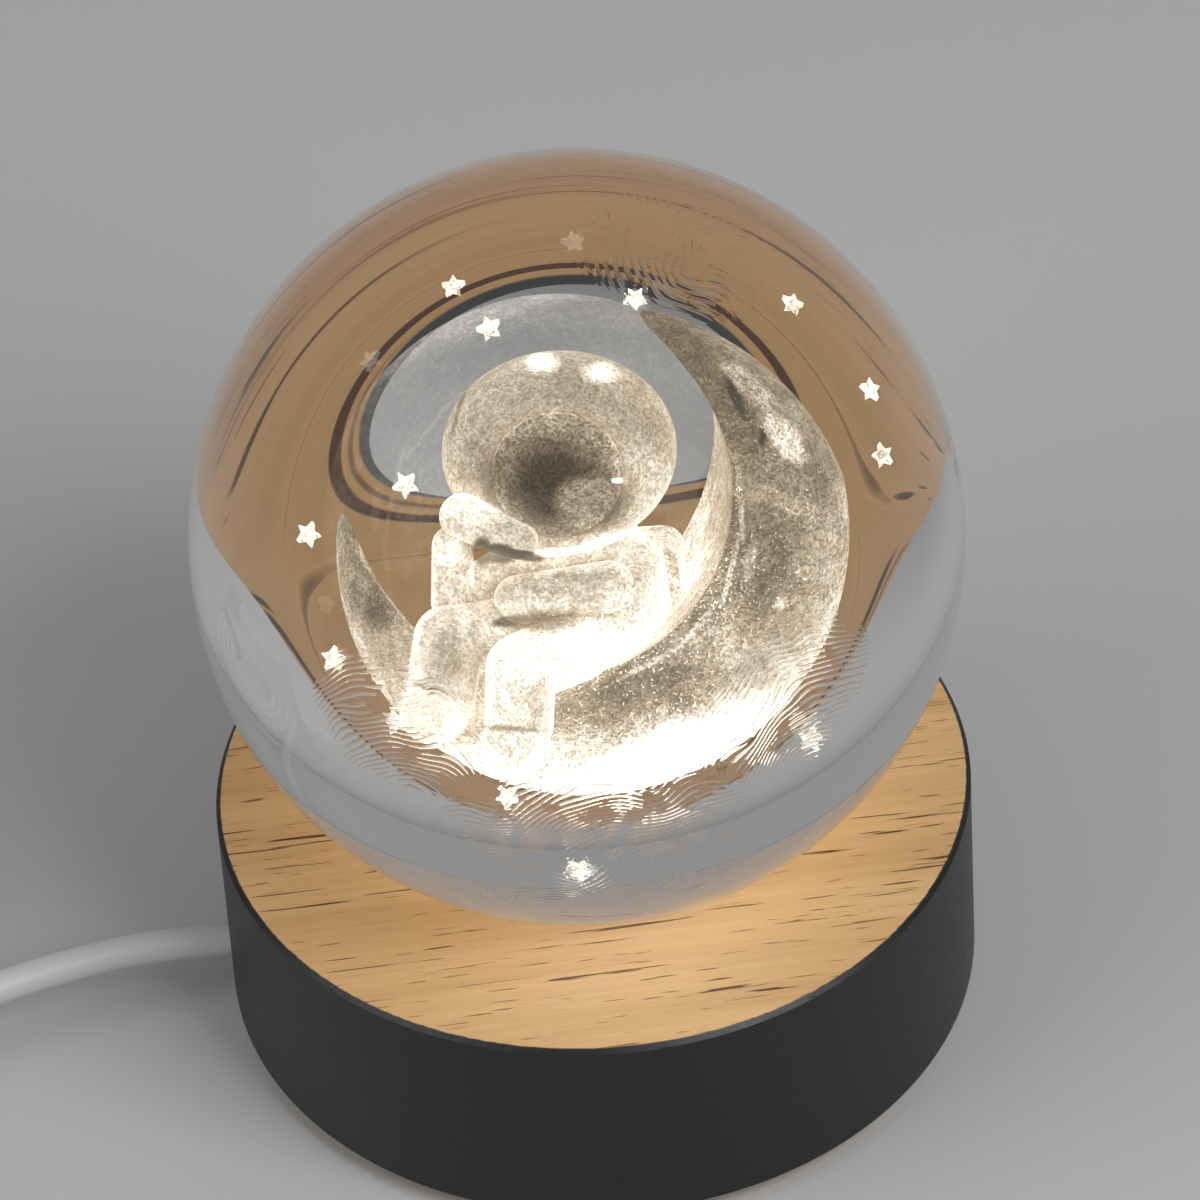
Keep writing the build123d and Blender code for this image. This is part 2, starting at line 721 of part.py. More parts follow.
# Tie round the coil's turns
tie_passes = [coil_place(coil_tie_turn + index)[0] for index in range(int(coil_turns - coil_tie_turn) + 1)]
tie_inner = math.sqrt((min(tie_passes) - cord_radius) ** 2 - (coil_tie_width / 2) ** 2) - coil_tie_clearance
tie_outer = max(tie_passes) + cord_radius + coil_tie_clearance
tie_low = coil_tie_thickness
tie_high = coil_high_z + cord_radius + coil_tie_clearance
tie_angle = math.radians(coil_start_angle - 360 * coil_tie_turn)
tie_out = Vector(math.cos(tie_angle), math.sin(tie_angle), 0)
tie_plane = Plane(
    origin=(coil_centre_x, coil_centre_y, 0), x_dir=tie_out, z_dir=tie_out.cross(Vector(0, 0, 1))
)
with BuildPart() as coil_tie:
    with BuildSketch(tie_plane):
        with Locations(((tie_inner + tie_outer) / 2, (tie_low + tie_high) / 2)):
            Rectangle(tie_outer - tie_inner + 2 * coil_tie_thickness, tie_high - tie_low + 2 * coil_tie_thickness)
            Rectangle(tie_outer - tie_inner, tie_high - tie_low, mode=Mode.SUBTRACT)
    extrude(amount=coil_tie_width / 2, both=True)
keep("coil_tie", coil_tie.part)

# Switch shells, parted at the cord's height
switch_roof = switch_height - switch_wall
pivot_z = switch_height - rocker_pivot_depth
throw = math.radians(rocker_throw)
rocker_top = rocker_pivot_depth + rocker_rise
rocker_reach = rocker_length / 2 * math.cos(throw) + rocker_top * math.sin(throw)
lug_inner = rocker_width / 2 + rocker_gap
lug_drop = rocker_pin_diameter / 2 + rocker_pin_clearance + switch_wall / 2
boss_places = [
    (switch_x + switch_boss_x, switch_y + switch_boss_y),
    (switch_x - switch_boss_x, switch_y - switch_boss_y),
]


def switch_shell(low, high, floor, ceiling):
    """One half of the housing, hollow between its floor and its ceiling, with bosses and cord holes."""
    with BuildPart() as shell:
        with BuildSketch(Plane.XY.offset(low)):
            with Locations((switch_x, switch_y)):
                RectangleRounded(switch_length, switch_width, switch_corner)
        extrude(amount=high - low)
        outer = shell.edges().group_by(Axis.Z)[0 if floor > low else -1]
        fillet(outer, radius=switch_edge)
        with BuildSketch(Plane.XY.offset(floor)):
            with Locations((switch_x, switch_y)):
                RectangleRounded(
                    switch_length - 2 * switch_wall, switch_width - 2 * switch_wall, switch_corner - switch_wall
                )
        extrude(amount=ceiling - floor, mode=Mode.SUBTRACT)
        with BuildSketch(Plane.XY.offset(floor)):
            with Locations(*boss_places):
                Circle(switch_boss_diameter / 2)
        extrude(amount=ceiling - floor)
        with BuildSketch(Plane.YZ.offset(switch_x)):
            with Locations((switch_y, switch_cord_height)):
                Circle(cord_hole_radius)
        extrude(amount=switch_length, both=True, mode=Mode.SUBTRACT)
    return shell.part


bottom_body = switch_shell(0, switch_cord_height, switch_wall, switch_cord_height)
with BuildPart() as switch_bottom_shell:
    add(bottom_body)
    with Locations(Plane(origin=(0, 0, 0), x_dir=(1, 0, 0), z_dir=(0, 0, -1))):
        with Locations(*[(x, -y) for x, y in boss_places]):
            CounterBoreHole(
                radius=switch_screw_diameter / 2 + pilot_clearance,
                counter_bore_radius=switch_screw_head / 2 + pilot_clearance,
                counter_bore_depth=switch_screw_head_height,
            )
keep("switch_bottom_shell", switch_bottom_shell.part)

top_body = switch_shell(switch_cord_height, switch_height, switch_cord_height, switch_roof)
with BuildPart() as switch_top_shell:
    add(top_body)
    with BuildSketch(Plane.XY.offset(pivot_z - lug_drop)):
        with Locations((switch_x, switch_y)):
            with GridLocations(1, 2 * lug_inner + rocker_lug, 1, 2):
                Rectangle(rocker_pin_diameter + 2 * switch_wall, rocker_lug)
    extrude(amount=switch_height - switch_wall / 2 - pivot_z + lug_drop)
    with BuildSketch(Plane.XY.offset(switch_roof)):
        with Locations((switch_x, switch_y)):
            Rectangle(2 * (rocker_reach + rocker_gap), rocker_width + 2 * rocker_gap)
    extrude(amount=switch_wall, mode=Mode.SUBTRACT)
    with BuildSketch(Plane(origin=(switch_x, switch_y, pivot_z), x_dir=(1, 0, 0), z_dir=(0, -1, 0))):
        Circle(rocker_pin_diameter / 2 + rocker_pin_clearance)
    extrude(amount=lug_inner + rocker_lug, both=True, mode=Mode.SUBTRACT)
    with BuildSketch(Plane.XY.offset(switch_cord_height)):
        with Locations(*boss_places):
            Circle(switch_screw_diameter / 2 + pilot_clearance)
    extrude(amount=switch_screw_length + switch_screw_head_height - switch_cord_height, mode=Mode.SUBTRACT)
keep("switch_top_shell", switch_top_shell.part)

# Rocker, pressed to its lamp side at rest, with its brass bridge
rocker_plane = Plane(
    origin=(switch_x, switch_y, pivot_z),
    x_dir=(math.cos(throw), 0, -math.sin(throw)),
    z_dir=(0, -1, 0),
)
with BuildPart() as switch_rocker:
    with BuildSketch(rocker_plane):
        with BuildLine():
            Polyline(
                (-rocker_length / 2, rocker_top), (0, rocker_top - rocker_dip), (rocker_length / 2, rocker_top),
                (rocker_length / 2, 0), (rocker_foot / 2, -rocker_drop), (-rocker_foot / 2, -rocker_drop),
                (-rocker_length / 2, 0), close=True,
            )
        make_face()
    extrude(amount=rocker_width / 2, both=True)
    with BuildSketch(rocker_plane):
        Circle(rocker_pin_diameter / 2)
    extrude(amount=lug_inner + rocker_lug - rocker_pin_clearance, both=True)
keep("switch_rocker", switch_rocker.part)

with BuildPart() as switch_bridge:
    with BuildSketch(rocker_plane):
        with Locations((0, -rocker_drop - bridge_thickness / 2)):
            Rectangle(bridge_length, bridge_thickness)
    extrude(amount=bridge_width / 2, both=True)
keep("switch_bridge", switch_bridge.part)

# Brass terminals on the housing's floor
with BuildPart() as switch_terminals:
    for sign in (1, -1):
        foot_x = switch_x + sign * (terminal_spacing / 2 + terminal_foot / 2)
        blade_x = switch_x + sign * (terminal_spacing / 2 + terminal_thickness / 2)
        with BuildSketch(Plane.XY.offset(switch_wall)):
            with Locations((foot_x, switch_y)):
                Rectangle(terminal_foot, terminal_width)
        extrude(amount=terminal_thickness)
        with BuildSketch(Plane.XY.offset(switch_wall)):
            with Locations((blade_x, switch_y)):
                Rectangle(terminal_thickness, terminal_width)
        extrude(amount=terminal_height)
keep("switch_terminals", switch_terminals.part)

# Screws of the switch, heads up in their counterbores
switch_screw_profile = [
    (0, 0), (switch_screw_head / 2, 0), (switch_screw_head / 2, switch_screw_head_height),
    (switch_screw_diameter / 2, switch_screw_head_height),
    (switch_screw_diameter / 2, switch_screw_head_height + switch_screw_length - pilot_clearance),
    (0, switch_screw_head_height + switch_screw_length - pilot_clearance),
]
switch_screw = slotted_screw(switch_screw_profile, switch_screw_head)
with BuildPart() as switch_screws:
    with Locations(*boss_places):
        add(switch_screw)
keep("switch_screws", switch_screws.part)


def across_plug(y):
    """A plane across the plug at this distance along it."""
    return Plane(origin=(plug_x, y, plug_z), x_dir=(1, 0, 0), z_dir=(0, 1, 0))


# Plug: moulded body with a tapered strain relief, steel shell, tongue and contacts
with BuildPart() as usb_plug_body:
    with BuildSketch(across_plug(body_y)):
        RectangleRounded(plug_width, plug_thickness, plug_corner)
    extrude(amount=plug_length)
    fillet(usb_plug_body.faces().filter_by(Axis.Y).edges(), radius=plug_edge)
    with BuildSketch(across_plug(plug_y)):
        Circle(relief_end_diameter / 2)
    with BuildSketch(across_plug(body_y + plug_edge)):
        Circle(relief_root_diameter / 2)
    loft()
    with BuildSketch(across_plug(face_y - shell_hidden)):
        Rectangle(shell_width + 2 * shell_clearance, shell_height + 2 * shell_clearance)
    extrude(amount=shell_hidden, mode=Mode.SUBTRACT)
keep("usb_plug_body", usb_plug_body.part)

tip_y = face_y + shell_shown
with BuildPart() as usb_plug_shell:
    with BuildSketch(across_plug(face_y - shell_hidden)):
        Rectangle(shell_width, shell_height)
        Rectangle(shell_width - 2 * shell_wall, shell_height - 2 * shell_wall, mode=Mode.SUBTRACT)
    extrude(amount=shell_hidden + shell_shown)
    with BuildSketch(Plane.XY.offset(plug_z)):
        with Locations((plug_x, tip_y - shell_window_from_tip)):
            with GridLocations(shell_window_spacing, 1, 2, 1):
                Rectangle(shell_window_width, shell_window_length)
    extrude(amount=shell_height, mode=Mode.SUBTRACT)
keep("usb_plug_shell", usb_plug_shell.part)

tongue_low = shell_wall + tongue_clearance - shell_height / 2
with BuildPart() as usb_plug_tongue:
    with BuildSketch(Plane.XY.offset(plug_z + tongue_low)):
        with Locations((plug_x, (face_y - shell_hidden + tip_y - tongue_setback) / 2)):
            Rectangle(
                shell_width - 2 * shell_wall - 2 * tongue_clearance, shell_hidden + shell_shown - tongue_setback
            )
    extrude(amount=tongue_thickness)
keep("usb_plug_tongue", usb_plug_tongue.part)

with BuildPart() as usb_plug_contacts:
    with BuildSketch(Plane.XY.offset(plug_z + tongue_low + tongue_thickness)):
        with Locations((plug_x, tip_y - 2 * tongue_setback - contact_length / 2)):
            with GridLocations(contact_pitch, 1, contact_count, 1):
                Rectangle(contact_width, contact_length)
    extrude(amount=contact_thickness)
keep("usb_plug_contacts", usb_plug_contacts.part)

os.makedirs("parts", exist_ok=True)
for name, piece in parts.items():
    export_step(piece, f"parts/{name}.step")
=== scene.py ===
"""Astronaut night light: the camera, cord, engraving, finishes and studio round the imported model."""
import logging
import math
from dataclasses import dataclass
from enum import Enum
from typing import Any

import bpy
import numpy as np
from mathutils import Matrix, Vector


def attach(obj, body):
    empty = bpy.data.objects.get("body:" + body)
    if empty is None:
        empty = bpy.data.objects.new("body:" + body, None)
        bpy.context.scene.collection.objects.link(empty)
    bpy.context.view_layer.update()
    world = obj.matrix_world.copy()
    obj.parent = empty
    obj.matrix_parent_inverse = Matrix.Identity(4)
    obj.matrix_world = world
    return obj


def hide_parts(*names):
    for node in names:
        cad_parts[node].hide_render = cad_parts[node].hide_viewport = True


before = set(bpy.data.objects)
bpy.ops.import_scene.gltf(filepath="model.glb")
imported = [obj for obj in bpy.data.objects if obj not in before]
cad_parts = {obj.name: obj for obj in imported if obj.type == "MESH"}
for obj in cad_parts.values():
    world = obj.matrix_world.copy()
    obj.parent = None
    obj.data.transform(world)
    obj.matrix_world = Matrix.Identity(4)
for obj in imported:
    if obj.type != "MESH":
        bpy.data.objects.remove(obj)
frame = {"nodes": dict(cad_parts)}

LOG = logging.getLogger("night_light")
Point = tuple[float, float, float]
Tree = bpy.types.NodeTree
Node = bpy.types.Node
Socket = bpy.types.NodeSocket

MM = 0.001
BALL_CENTRE = np.array([0.0, 0.0, 46.0])
BALL_RADIUS = 30.0
GLASS_IOR = 1.517
COIL_CENTRE = (-80.0, 4.6)
# The engraved picture leans back in the ball
PICTURE_LEAN = math.radians(28.0)
PICTURE_RIGHT = np.array([1.0, 0.0, 0.0])
PICTURE_UP = np.array([0.0, math.sin(PICTURE_LEAN), math.cos(PICTURE_LEAN)])
PICTURE_FRONT = np.array([0.0, -math.cos(PICTURE_LEAN), math.sin(PICTURE_LEAN)])
# The photograph's line of sight: how far it looks down, how far the picture is rolled, and its axes
SIGHT_LIFT = math.radians(42.553)
SIGHT_ROLL = math.radians(-3.7175)
SIGHT_BACK = np.array([0.0, -math.cos(SIGHT_LIFT), math.sin(SIGHT_LIFT)])
SIGHT_TOP = np.array([0.0, math.sin(SIGHT_LIFT), math.cos(SIGHT_LIFT)])
SIGHT_RIGHT = np.array([math.cos(SIGHT_ROLL), *(math.sin(SIGHT_ROLL) * SIGHT_TOP[1:])])
SIGHT_ABOVE = np.array([-math.sin(SIGHT_ROLL), *(math.cos(SIGHT_ROLL) * SIGHT_TOP[1:])])


class Sampling(Enum):
    """How a material's own glow is followed: as a lamp where it is strong, or never."""

    AUTO = "AUTO"
    NEVER = "NONE"


class Body(Enum):
    """The rigid bodies that new pieces ride on."""

    BASE = "base"
    BALL = "ball"


class Linking(Enum):
    """Whether a lamp minds the pieces of a group or passes them by."""

    INCLUDE = "INCLUDE"
    EXCLUDE = "EXCLUDE"


def linear(code: str) -> tuple[float, float, float, float]:
    """Turn an sRGB hex colour into linear red, green, blue and a full alpha.

    Args:
        code: six hex digits.
    Returns:
        The colour as Blender's sockets take it.
    """
    parts = np.array([int(code[at:at + 2], 16) for at in (0, 2, 4)]) / 255
    low = parts / 12.92
    high = ((parts + 0.055) / 1.055) ** 2.4
    red, green, blue = np.where(parts <= 0.04045, low, high).tolist()
    return red, green, blue, 1.0


def per_metre(size_mm: float) -> float:
    """The texture scale that makes one step of a pattern this many millimetres long."""
    return 1 / (size_mm * MM)


def feed(tree: Tree, node: Node, inputs: dict[Any, Any]) -> None:
    """Set a node's inputs.

    Args:
        tree: the tree that holds the node.
        node: the node.
        inputs: input name or number to a plain value, an output, or a node, which gives its first output.
    """
    for key, value in inputs.items():
        source = value.outputs[0] if isinstance(value, Node) else value
        if isinstance(source, Socket):
            tree.links.new(source, node.inputs[key])
        else:
            node.inputs[key].default_value = source


def add(tree: Tree, kind: str, inputs: dict[Any, Any] | None = None, **settings: Any) -> Node:
    """Add one node with its settings and its inputs.

    Args:
        tree: the tree that gets the node.
        kind: the node's type name without its first part, ShaderNode.
        inputs: as feed takes them.
        settings: the node's own properties.
    Returns:
        The new node.
    """
    made = tree.nodes.new("ShaderNode" + kind)
    for name, value in settings.items():
        setattr(made, name, value)
    feed(tree, made, inputs or {})
    return made


@dataclass(frozen=True)
class Finish:
    """A finish with one colour. Its kinds add the surface that the real material has.

    Attributes:
        name: the material and how its surface was made.
        colour: sRGB hex.
        roughness: mean roughness.
        ior: index of refraction.
        metallic: 1 for a metal.
        sampling: whether its glow is treated as a lamp.
    """

    name: str
    colour: str
    roughness: float = 0.5
    ior: float = 1.5
    metallic: float = 0.0
    sampling: Sampling = Sampling.AUTO

    def paint(self, tree: Tree) -> dict[str, Any]:
        """The shader's inputs that this kind of finish sets beyond its plain values."""
        return {}

    def make(self) -> bpy.types.Material:
        """Make the material, once for each name.

        Returns:
            The material with its nodes.
        """
        found = bpy.data.materials.get(self.name)
        if found:
            return found
        material = bpy.data.materials.new(self.name)
        material.use_nodes = True
        tree = material.node_tree
        shader = next(node for node in tree.nodes if node.type == "BSDF_PRINCIPLED")
        feed(tree, shader, {"Base Color": linear(self.colour), "Roughness": self.roughness, "IOR": self.ior,
                            "Metallic": self.metallic})
        feed(tree, shader, self.paint(tree))
        material.cycles.emission_sampling = self.sampling.value
        return material


@dataclass(frozen=True)
class Moulded(Finish):
    """Moulded plastic: a fine grain from the mould, and faint mottling where it was handled.

    Attributes:
        grain_mm: size of the mould's grain.
        grain_depth_mm: depth of the grain.
        mottle_mm: size of the mottling.
        shade: the mottling's other colour.
        uneven: how far the roughness goes up and down with the mottling.
    """

    grain_mm: float = 0.35
    grain_depth_mm: float = 0.006
    mottle_mm: float = 9.0
    shade: str = "D6D6D2"
    uneven: float = 0.07

    def paint(self, tree: Tree) -> dict[str, Any]:
        """Mottle the colour and the gloss, and give the grain its depth.

        Args:
            tree: the material's tree.
        Returns:
            The shader's inputs.
        """
        place = add(tree, "TexCoord").outputs["Object"]
        mottle = add(tree, "TexNoise", {"Vector": place, "Scale": per_metre(self.mottle_mm), "Detail": 3.0})
        grain = add(tree, "TexNoise", {"Vector": place, "Scale": per_metre(self.grain_mm), "Detail": 2.0})
        colour = add(tree, "Mix", {"Factor": mottle, 6: linear(self.shade), 7: linear(self.colour)},
                     data_type="RGBA")
        gloss = add(tree, "MapRange", {"Value": mottle, "To Min": self.roughness + self.uneven,
                                       "To Max": self.roughness - self.uneven})
        bump = add(tree, "Bump", {"Height": grain, "Strength": 0.5, "Distance": self.grain_depth_mm * MM})
        return {"Base Color": colour.outputs[2], "Roughness": gloss, "Normal": bump}


@dataclass(frozen=True)
class Metal(Finish):
    """Plated or rolled metal: fine drawing lines along Y, and a patchy tarnish.

    Attributes:
        line_mm: spacing of the drawing lines.
        line_stretch: how much longer than wide a line is.
        patch_mm: size of the tarnished patches.
        tarnish: the colour in the tarnished places.
        gloss: how far the roughness goes down and up with the lines.
    """

    metallic: float = 1.0
    line_mm: float = 0.12
    line_stretch: float = 30.0
    patch_mm: float = 4.0
    tarnish: str = "8F8F8C"
    gloss: tuple[float, float] = (0.08, 0.1)

    def paint(self, tree: Tree) -> dict[str, Any]:
        """Draw the lines into the gloss and the tarnish into the colour.

        Args:
            tree: the material's tree.
        Returns:
            The shader's inputs.
        """
        place = add(tree, "TexCoord").outputs["Object"]
        step = per_metre(self.line_mm)
        stretched = add(tree, "Mapping", {"Vector": place, "Scale": (step, step / self.line_stretch, step)})
        lines = add(tree, "TexNoise", {"Vector": stretched, "Scale": 1.0, "Detail": 2.0})
        patches = add(tree, "TexNoise", {"Vector": place, "Scale": per_metre(self.patch_mm), "Detail": 3.0})
        spread = add(tree, "MapRange", {"Value": patches, "From Min": 0.5, "From Max": 0.9, "To Max": 0.6})
        colour = add(tree, "Mix", {"Factor": spread, 6: linear(self.colour), 7: linear(self.tarnish)},
                     data_type="RGBA")
        gloss = add(tree, "MapRange", {"Value": lines, "To Min": self.roughness - self.gloss[0],
                                       "To Max": self.roughness + self.gloss[1]})
        return {"Base Color": colour.outputs[2], "Roughness": gloss}


@dataclass(frozen=True)
class Woven(Finish):
    """Woven narrow fabric: threads that cross over and under.

    Attributes:
        thread_mm: from thread to thread.
        gap_shade: painted shade between the threads, the colour in the weave's low places.
        turn: how far the threads turn from X, in degrees.
    """

    thread_mm: float = 0.5
    gap_shade: str = "0A0A0A"
    turn: float = 0.0

    def paint(self, tree: Tree) -> dict[str, Any]:
        """Cross two sets of waves, (sin x + sin z) times sin y, for the threads' height and colour, with
        painted shade in the low places.

        Args:
            tree: the material's tree.
        Returns:
            The shader's inputs.
        """
        place = add(tree, "TexCoord").outputs["Object"]
        turned = add(tree, "Mapping", {"Vector": place, "Rotation": (0, 0, math.radians(-self.turn))})
        scaled = add(tree, "VectorMath", {0: turned, "Scale": math.pi * per_metre(self.thread_mm)},
                     operation="SCALE")
        waves = add(tree, "VectorMath", {0: scaled}, operation="SINE")
        apart = add(tree, "SeparateXYZ", {"Vector": waves})
        along = add(tree, "Math", {0: apart.outputs["X"], 1: apart.outputs["Z"]}, operation="ADD")
        cross = add(tree, "Math", {0: along, 1: apart.outputs["Y"]}, operation="MULTIPLY")
        height = add(tree, "MapRange", {"Value": cross, "From Min": -1.0})
        # Painted shade: the colour darkens towards the low places between the threads
        colour = add(tree, "Mix", {"Factor": height, 6: linear(self.gap_shade), 7: linear(self.colour)},
                     data_type="RGBA")
        bump = add(tree, "Bump", {"Height": height, "Strength": 0.8, "Distance": self.thread_mm * MM / 4})
        return {"Base Color": colour.outputs[2], "Normal": bump}


@dataclass(frozen=True)
class StainedWood(Finish):
    """Turned pale hardwood under satin lacquer, with its side stained black.

    The eye gets straight fibres along X, slow growth bands, long thin dark pores in rows, and a side that is
    nearly black with the fibres just showing. A size of two numbers is along the fibres and across them.

    Attributes:
        band: colour of the darker growth bands.
        pore: colour of the pores.
        stain: colour of the stained side.
        stain_fibre: colour of the fibres in the stain.
        fibre_mm: size of a fibre.
        band_mm: size of a growth band.
        row_mm: size of the places where pores crowd.
        long_pore_mm: size of a long pore.
        short_pore_mm: size of a short pore.
        top_radius_mm: where the pale top ends and the stain begins.
        ragged_mm: how far the fibres draw the stain's edge out.
        fade_mm: how far inside that radius the stain begins, and where it is full.
        relief_mm: depth of the pores.
        gloss: how far the roughness goes down and up with the fibres.
        grain_turn: how far the fibres turn from X, in degrees.
    """

    band: str = "C09B6C"
    pore: str = "57391F"
    stain: str = "0E0D0E"
    stain_fibre: str = "1C1918"
    fibre_mm: tuple[float, float] = (16.0, 0.5)
    band_mm: tuple[float, float] = (60.0, 5.0)
    row_mm: tuple[float, float] = (40.0, 2.6)
    long_pore_mm: tuple[float, float] = (8.0, 0.32)
    short_pore_mm: tuple[float, float] = (4.2, 0.28)
    top_radius_mm: float = 29.6
    ragged_mm: float = 0.16
    fade_mm: tuple[float, float] = (0.10, 0.02)
    relief_mm: float = 0.04
    gloss: tuple[float, float] = (0.08, 0.1)
    grain_turn: float = -5.0

    def along(self, tree: Tree, place: Socket, size_mm: tuple[float, float], detail: float,
              shift: float = 0.0) -> Node:
        """Noise drawn out along the fibres.

        Args:
            tree: the material's tree.
            place: Object coordinates.
            size_mm: size of a step along the fibres and across them.
            detail: octaves of the noise.
            shift: moves the pattern, so that two of like size differ.
        Returns:
            The noise, about 0.5 in the mean.
        """
        length, width = (per_metre(size) for size in size_mm)
        turned = add(tree, "Mapping", {"Vector": place, "Rotation": (0, 0, math.radians(self.grain_turn))})
        drawn = add(tree, "Mapping", {"Vector": turned, "Location": (shift, shift, shift),
                                      "Scale": (length, width, width)})
        return add(tree, "TexNoise", {"Vector": drawn, "Scale": 1.0, "Detail": detail, "Roughness": 0.55})

    def pores(self, tree: Tree, place: Socket) -> Node:
        """Where the pores are: peaks of drawn-out noise, with the long ones crowded in rows.

        Args:
            tree: the material's tree.
            place: Object coordinates.
        Returns:
            1 in a pore and 0 beside it.
        """
        rows = self.along(tree, place, self.row_mm, 1.0, 3.0)
        long_noise = self.along(tree, place, self.long_pore_mm, 1.0, 7.0)
        short_noise = self.along(tree, place, self.short_pore_mm, 1.0, 11.0)
        crowded = add(tree, "MapRange", {"Value": rows, "From Min": 0.35, "From Max": 0.65, "To Min": 0.05,
                                         "To Max": -0.04})
        longer = add(tree, "Math", {0: long_noise, 1: crowded}, operation="SUBTRACT")
        long_line = add(tree, "MapRange", {"Value": longer, "From Min": 0.69, "From Max": 0.73})
        short_line = add(tree, "MapRange", {"Value": short_noise, "From Min": 0.69, "From Max": 0.74,
                                            "To Max": 0.75})
        return add(tree, "Math", {0: long_line, 1: short_line}, operation="MAXIMUM")

    def stained(self, tree: Tree, place: Socket, fibre: Node) -> Node:
        """Where the stain is: outside the top's radius, with an edge that follows the fibres.

        Args:
            tree: the material's tree.
            place: Object coordinates.
            fibre: the fibres' noise.
        Returns:
            1 in the stain and 0 on the pale top.
        """
        apart = add(tree, "SeparateXYZ", {"Vector": place})
        flat = add(tree, "CombineXYZ", {"X": apart.outputs["X"], "Y": apart.outputs["Y"]})
        radius = add(tree, "VectorMath", {0: flat}, operation="LENGTH").outputs["Value"]
        ragged = add(tree, "Math", {0: fibre, 1: -self.ragged_mm * MM, 2: radius}, operation="MULTIPLY_ADD")
        edge = self.top_radius_mm * MM
        begins, full = self.fade_mm
        return add(tree, "MapRange", {"Value": ragged, "From Min": edge - begins * MM,
                                      "From Max": edge - full * MM})

    def paint(self, tree: Tree) -> dict[str, Any]:
        """Lay fibres, bands and pores along the grain, and the stain over them.

        Args:
            tree: the material's tree.
        Returns:
            The shader's inputs.
        """
        place = add(tree, "TexCoord").outputs["Object"]
        fibre = self.along(tree, place, self.fibre_mm, 5.0)
        band = self.along(tree, place, self.band_mm, 2.0)
        pores = self.pores(tree, place)
        bands = add(tree, "MapRange", {"Value": band, "From Min": 0.3, "From Max": 0.7})
        tone = add(tree, "Mix", {"Factor": bands, 6: linear(self.colour), 7: linear(self.band)},
                   data_type="RGBA")
        fibres = add(tree, "MapRange", {"Value": fibre, "From Min": 0.3, "From Max": 0.72, "To Min": 0.91,
                                        "To Max": 1.06})
        lit = add(tree, "Mix", {"Factor": 1.0, 6: tone.outputs[2], 7: fibres}, data_type="RGBA",
                  blend_type="MULTIPLY")
        pale = add(tree, "Mix", {"Factor": pores, 6: lit.outputs[2], 7: linear(self.pore)}, data_type="RGBA")
        black = add(tree, "Mix", {"Factor": fibre, 6: linear(self.stain), 7: linear(self.stain_fibre)},
                    data_type="RGBA")
        both = add(tree, "Mix", {"Factor": self.stained(tree, place, fibre), 6: pale.outputs[2],
                                 7: black.outputs[2]}, data_type="RGBA")
        gloss = add(tree, "MapRange", {"Value": fibre, "To Min": self.roughness - self.gloss[0],
                                       "To Max": self.roughness + self.gloss[1]})
        relief = add(tree, "Math", {0: fibre, 1: pores}, operation="SUBTRACT")
        bump = add(tree, "Bump", {"Height": relief, "Strength": 0.6, "Distance": self.relief_mm * MM})
        return {"Base Color": both.outputs[2], "Roughness": gloss, "Normal": bump}


@dataclass(frozen=True)
class Touch:
    """A fingerprint on the ball.

    Attributes:
        centre: where it is, in millimetres from the ball's centre.
        reach: its radius.
        squeeze: how far it is drawn out along Y.
    """

    centre: Point
    reach: float
    squeeze: float = 1.5


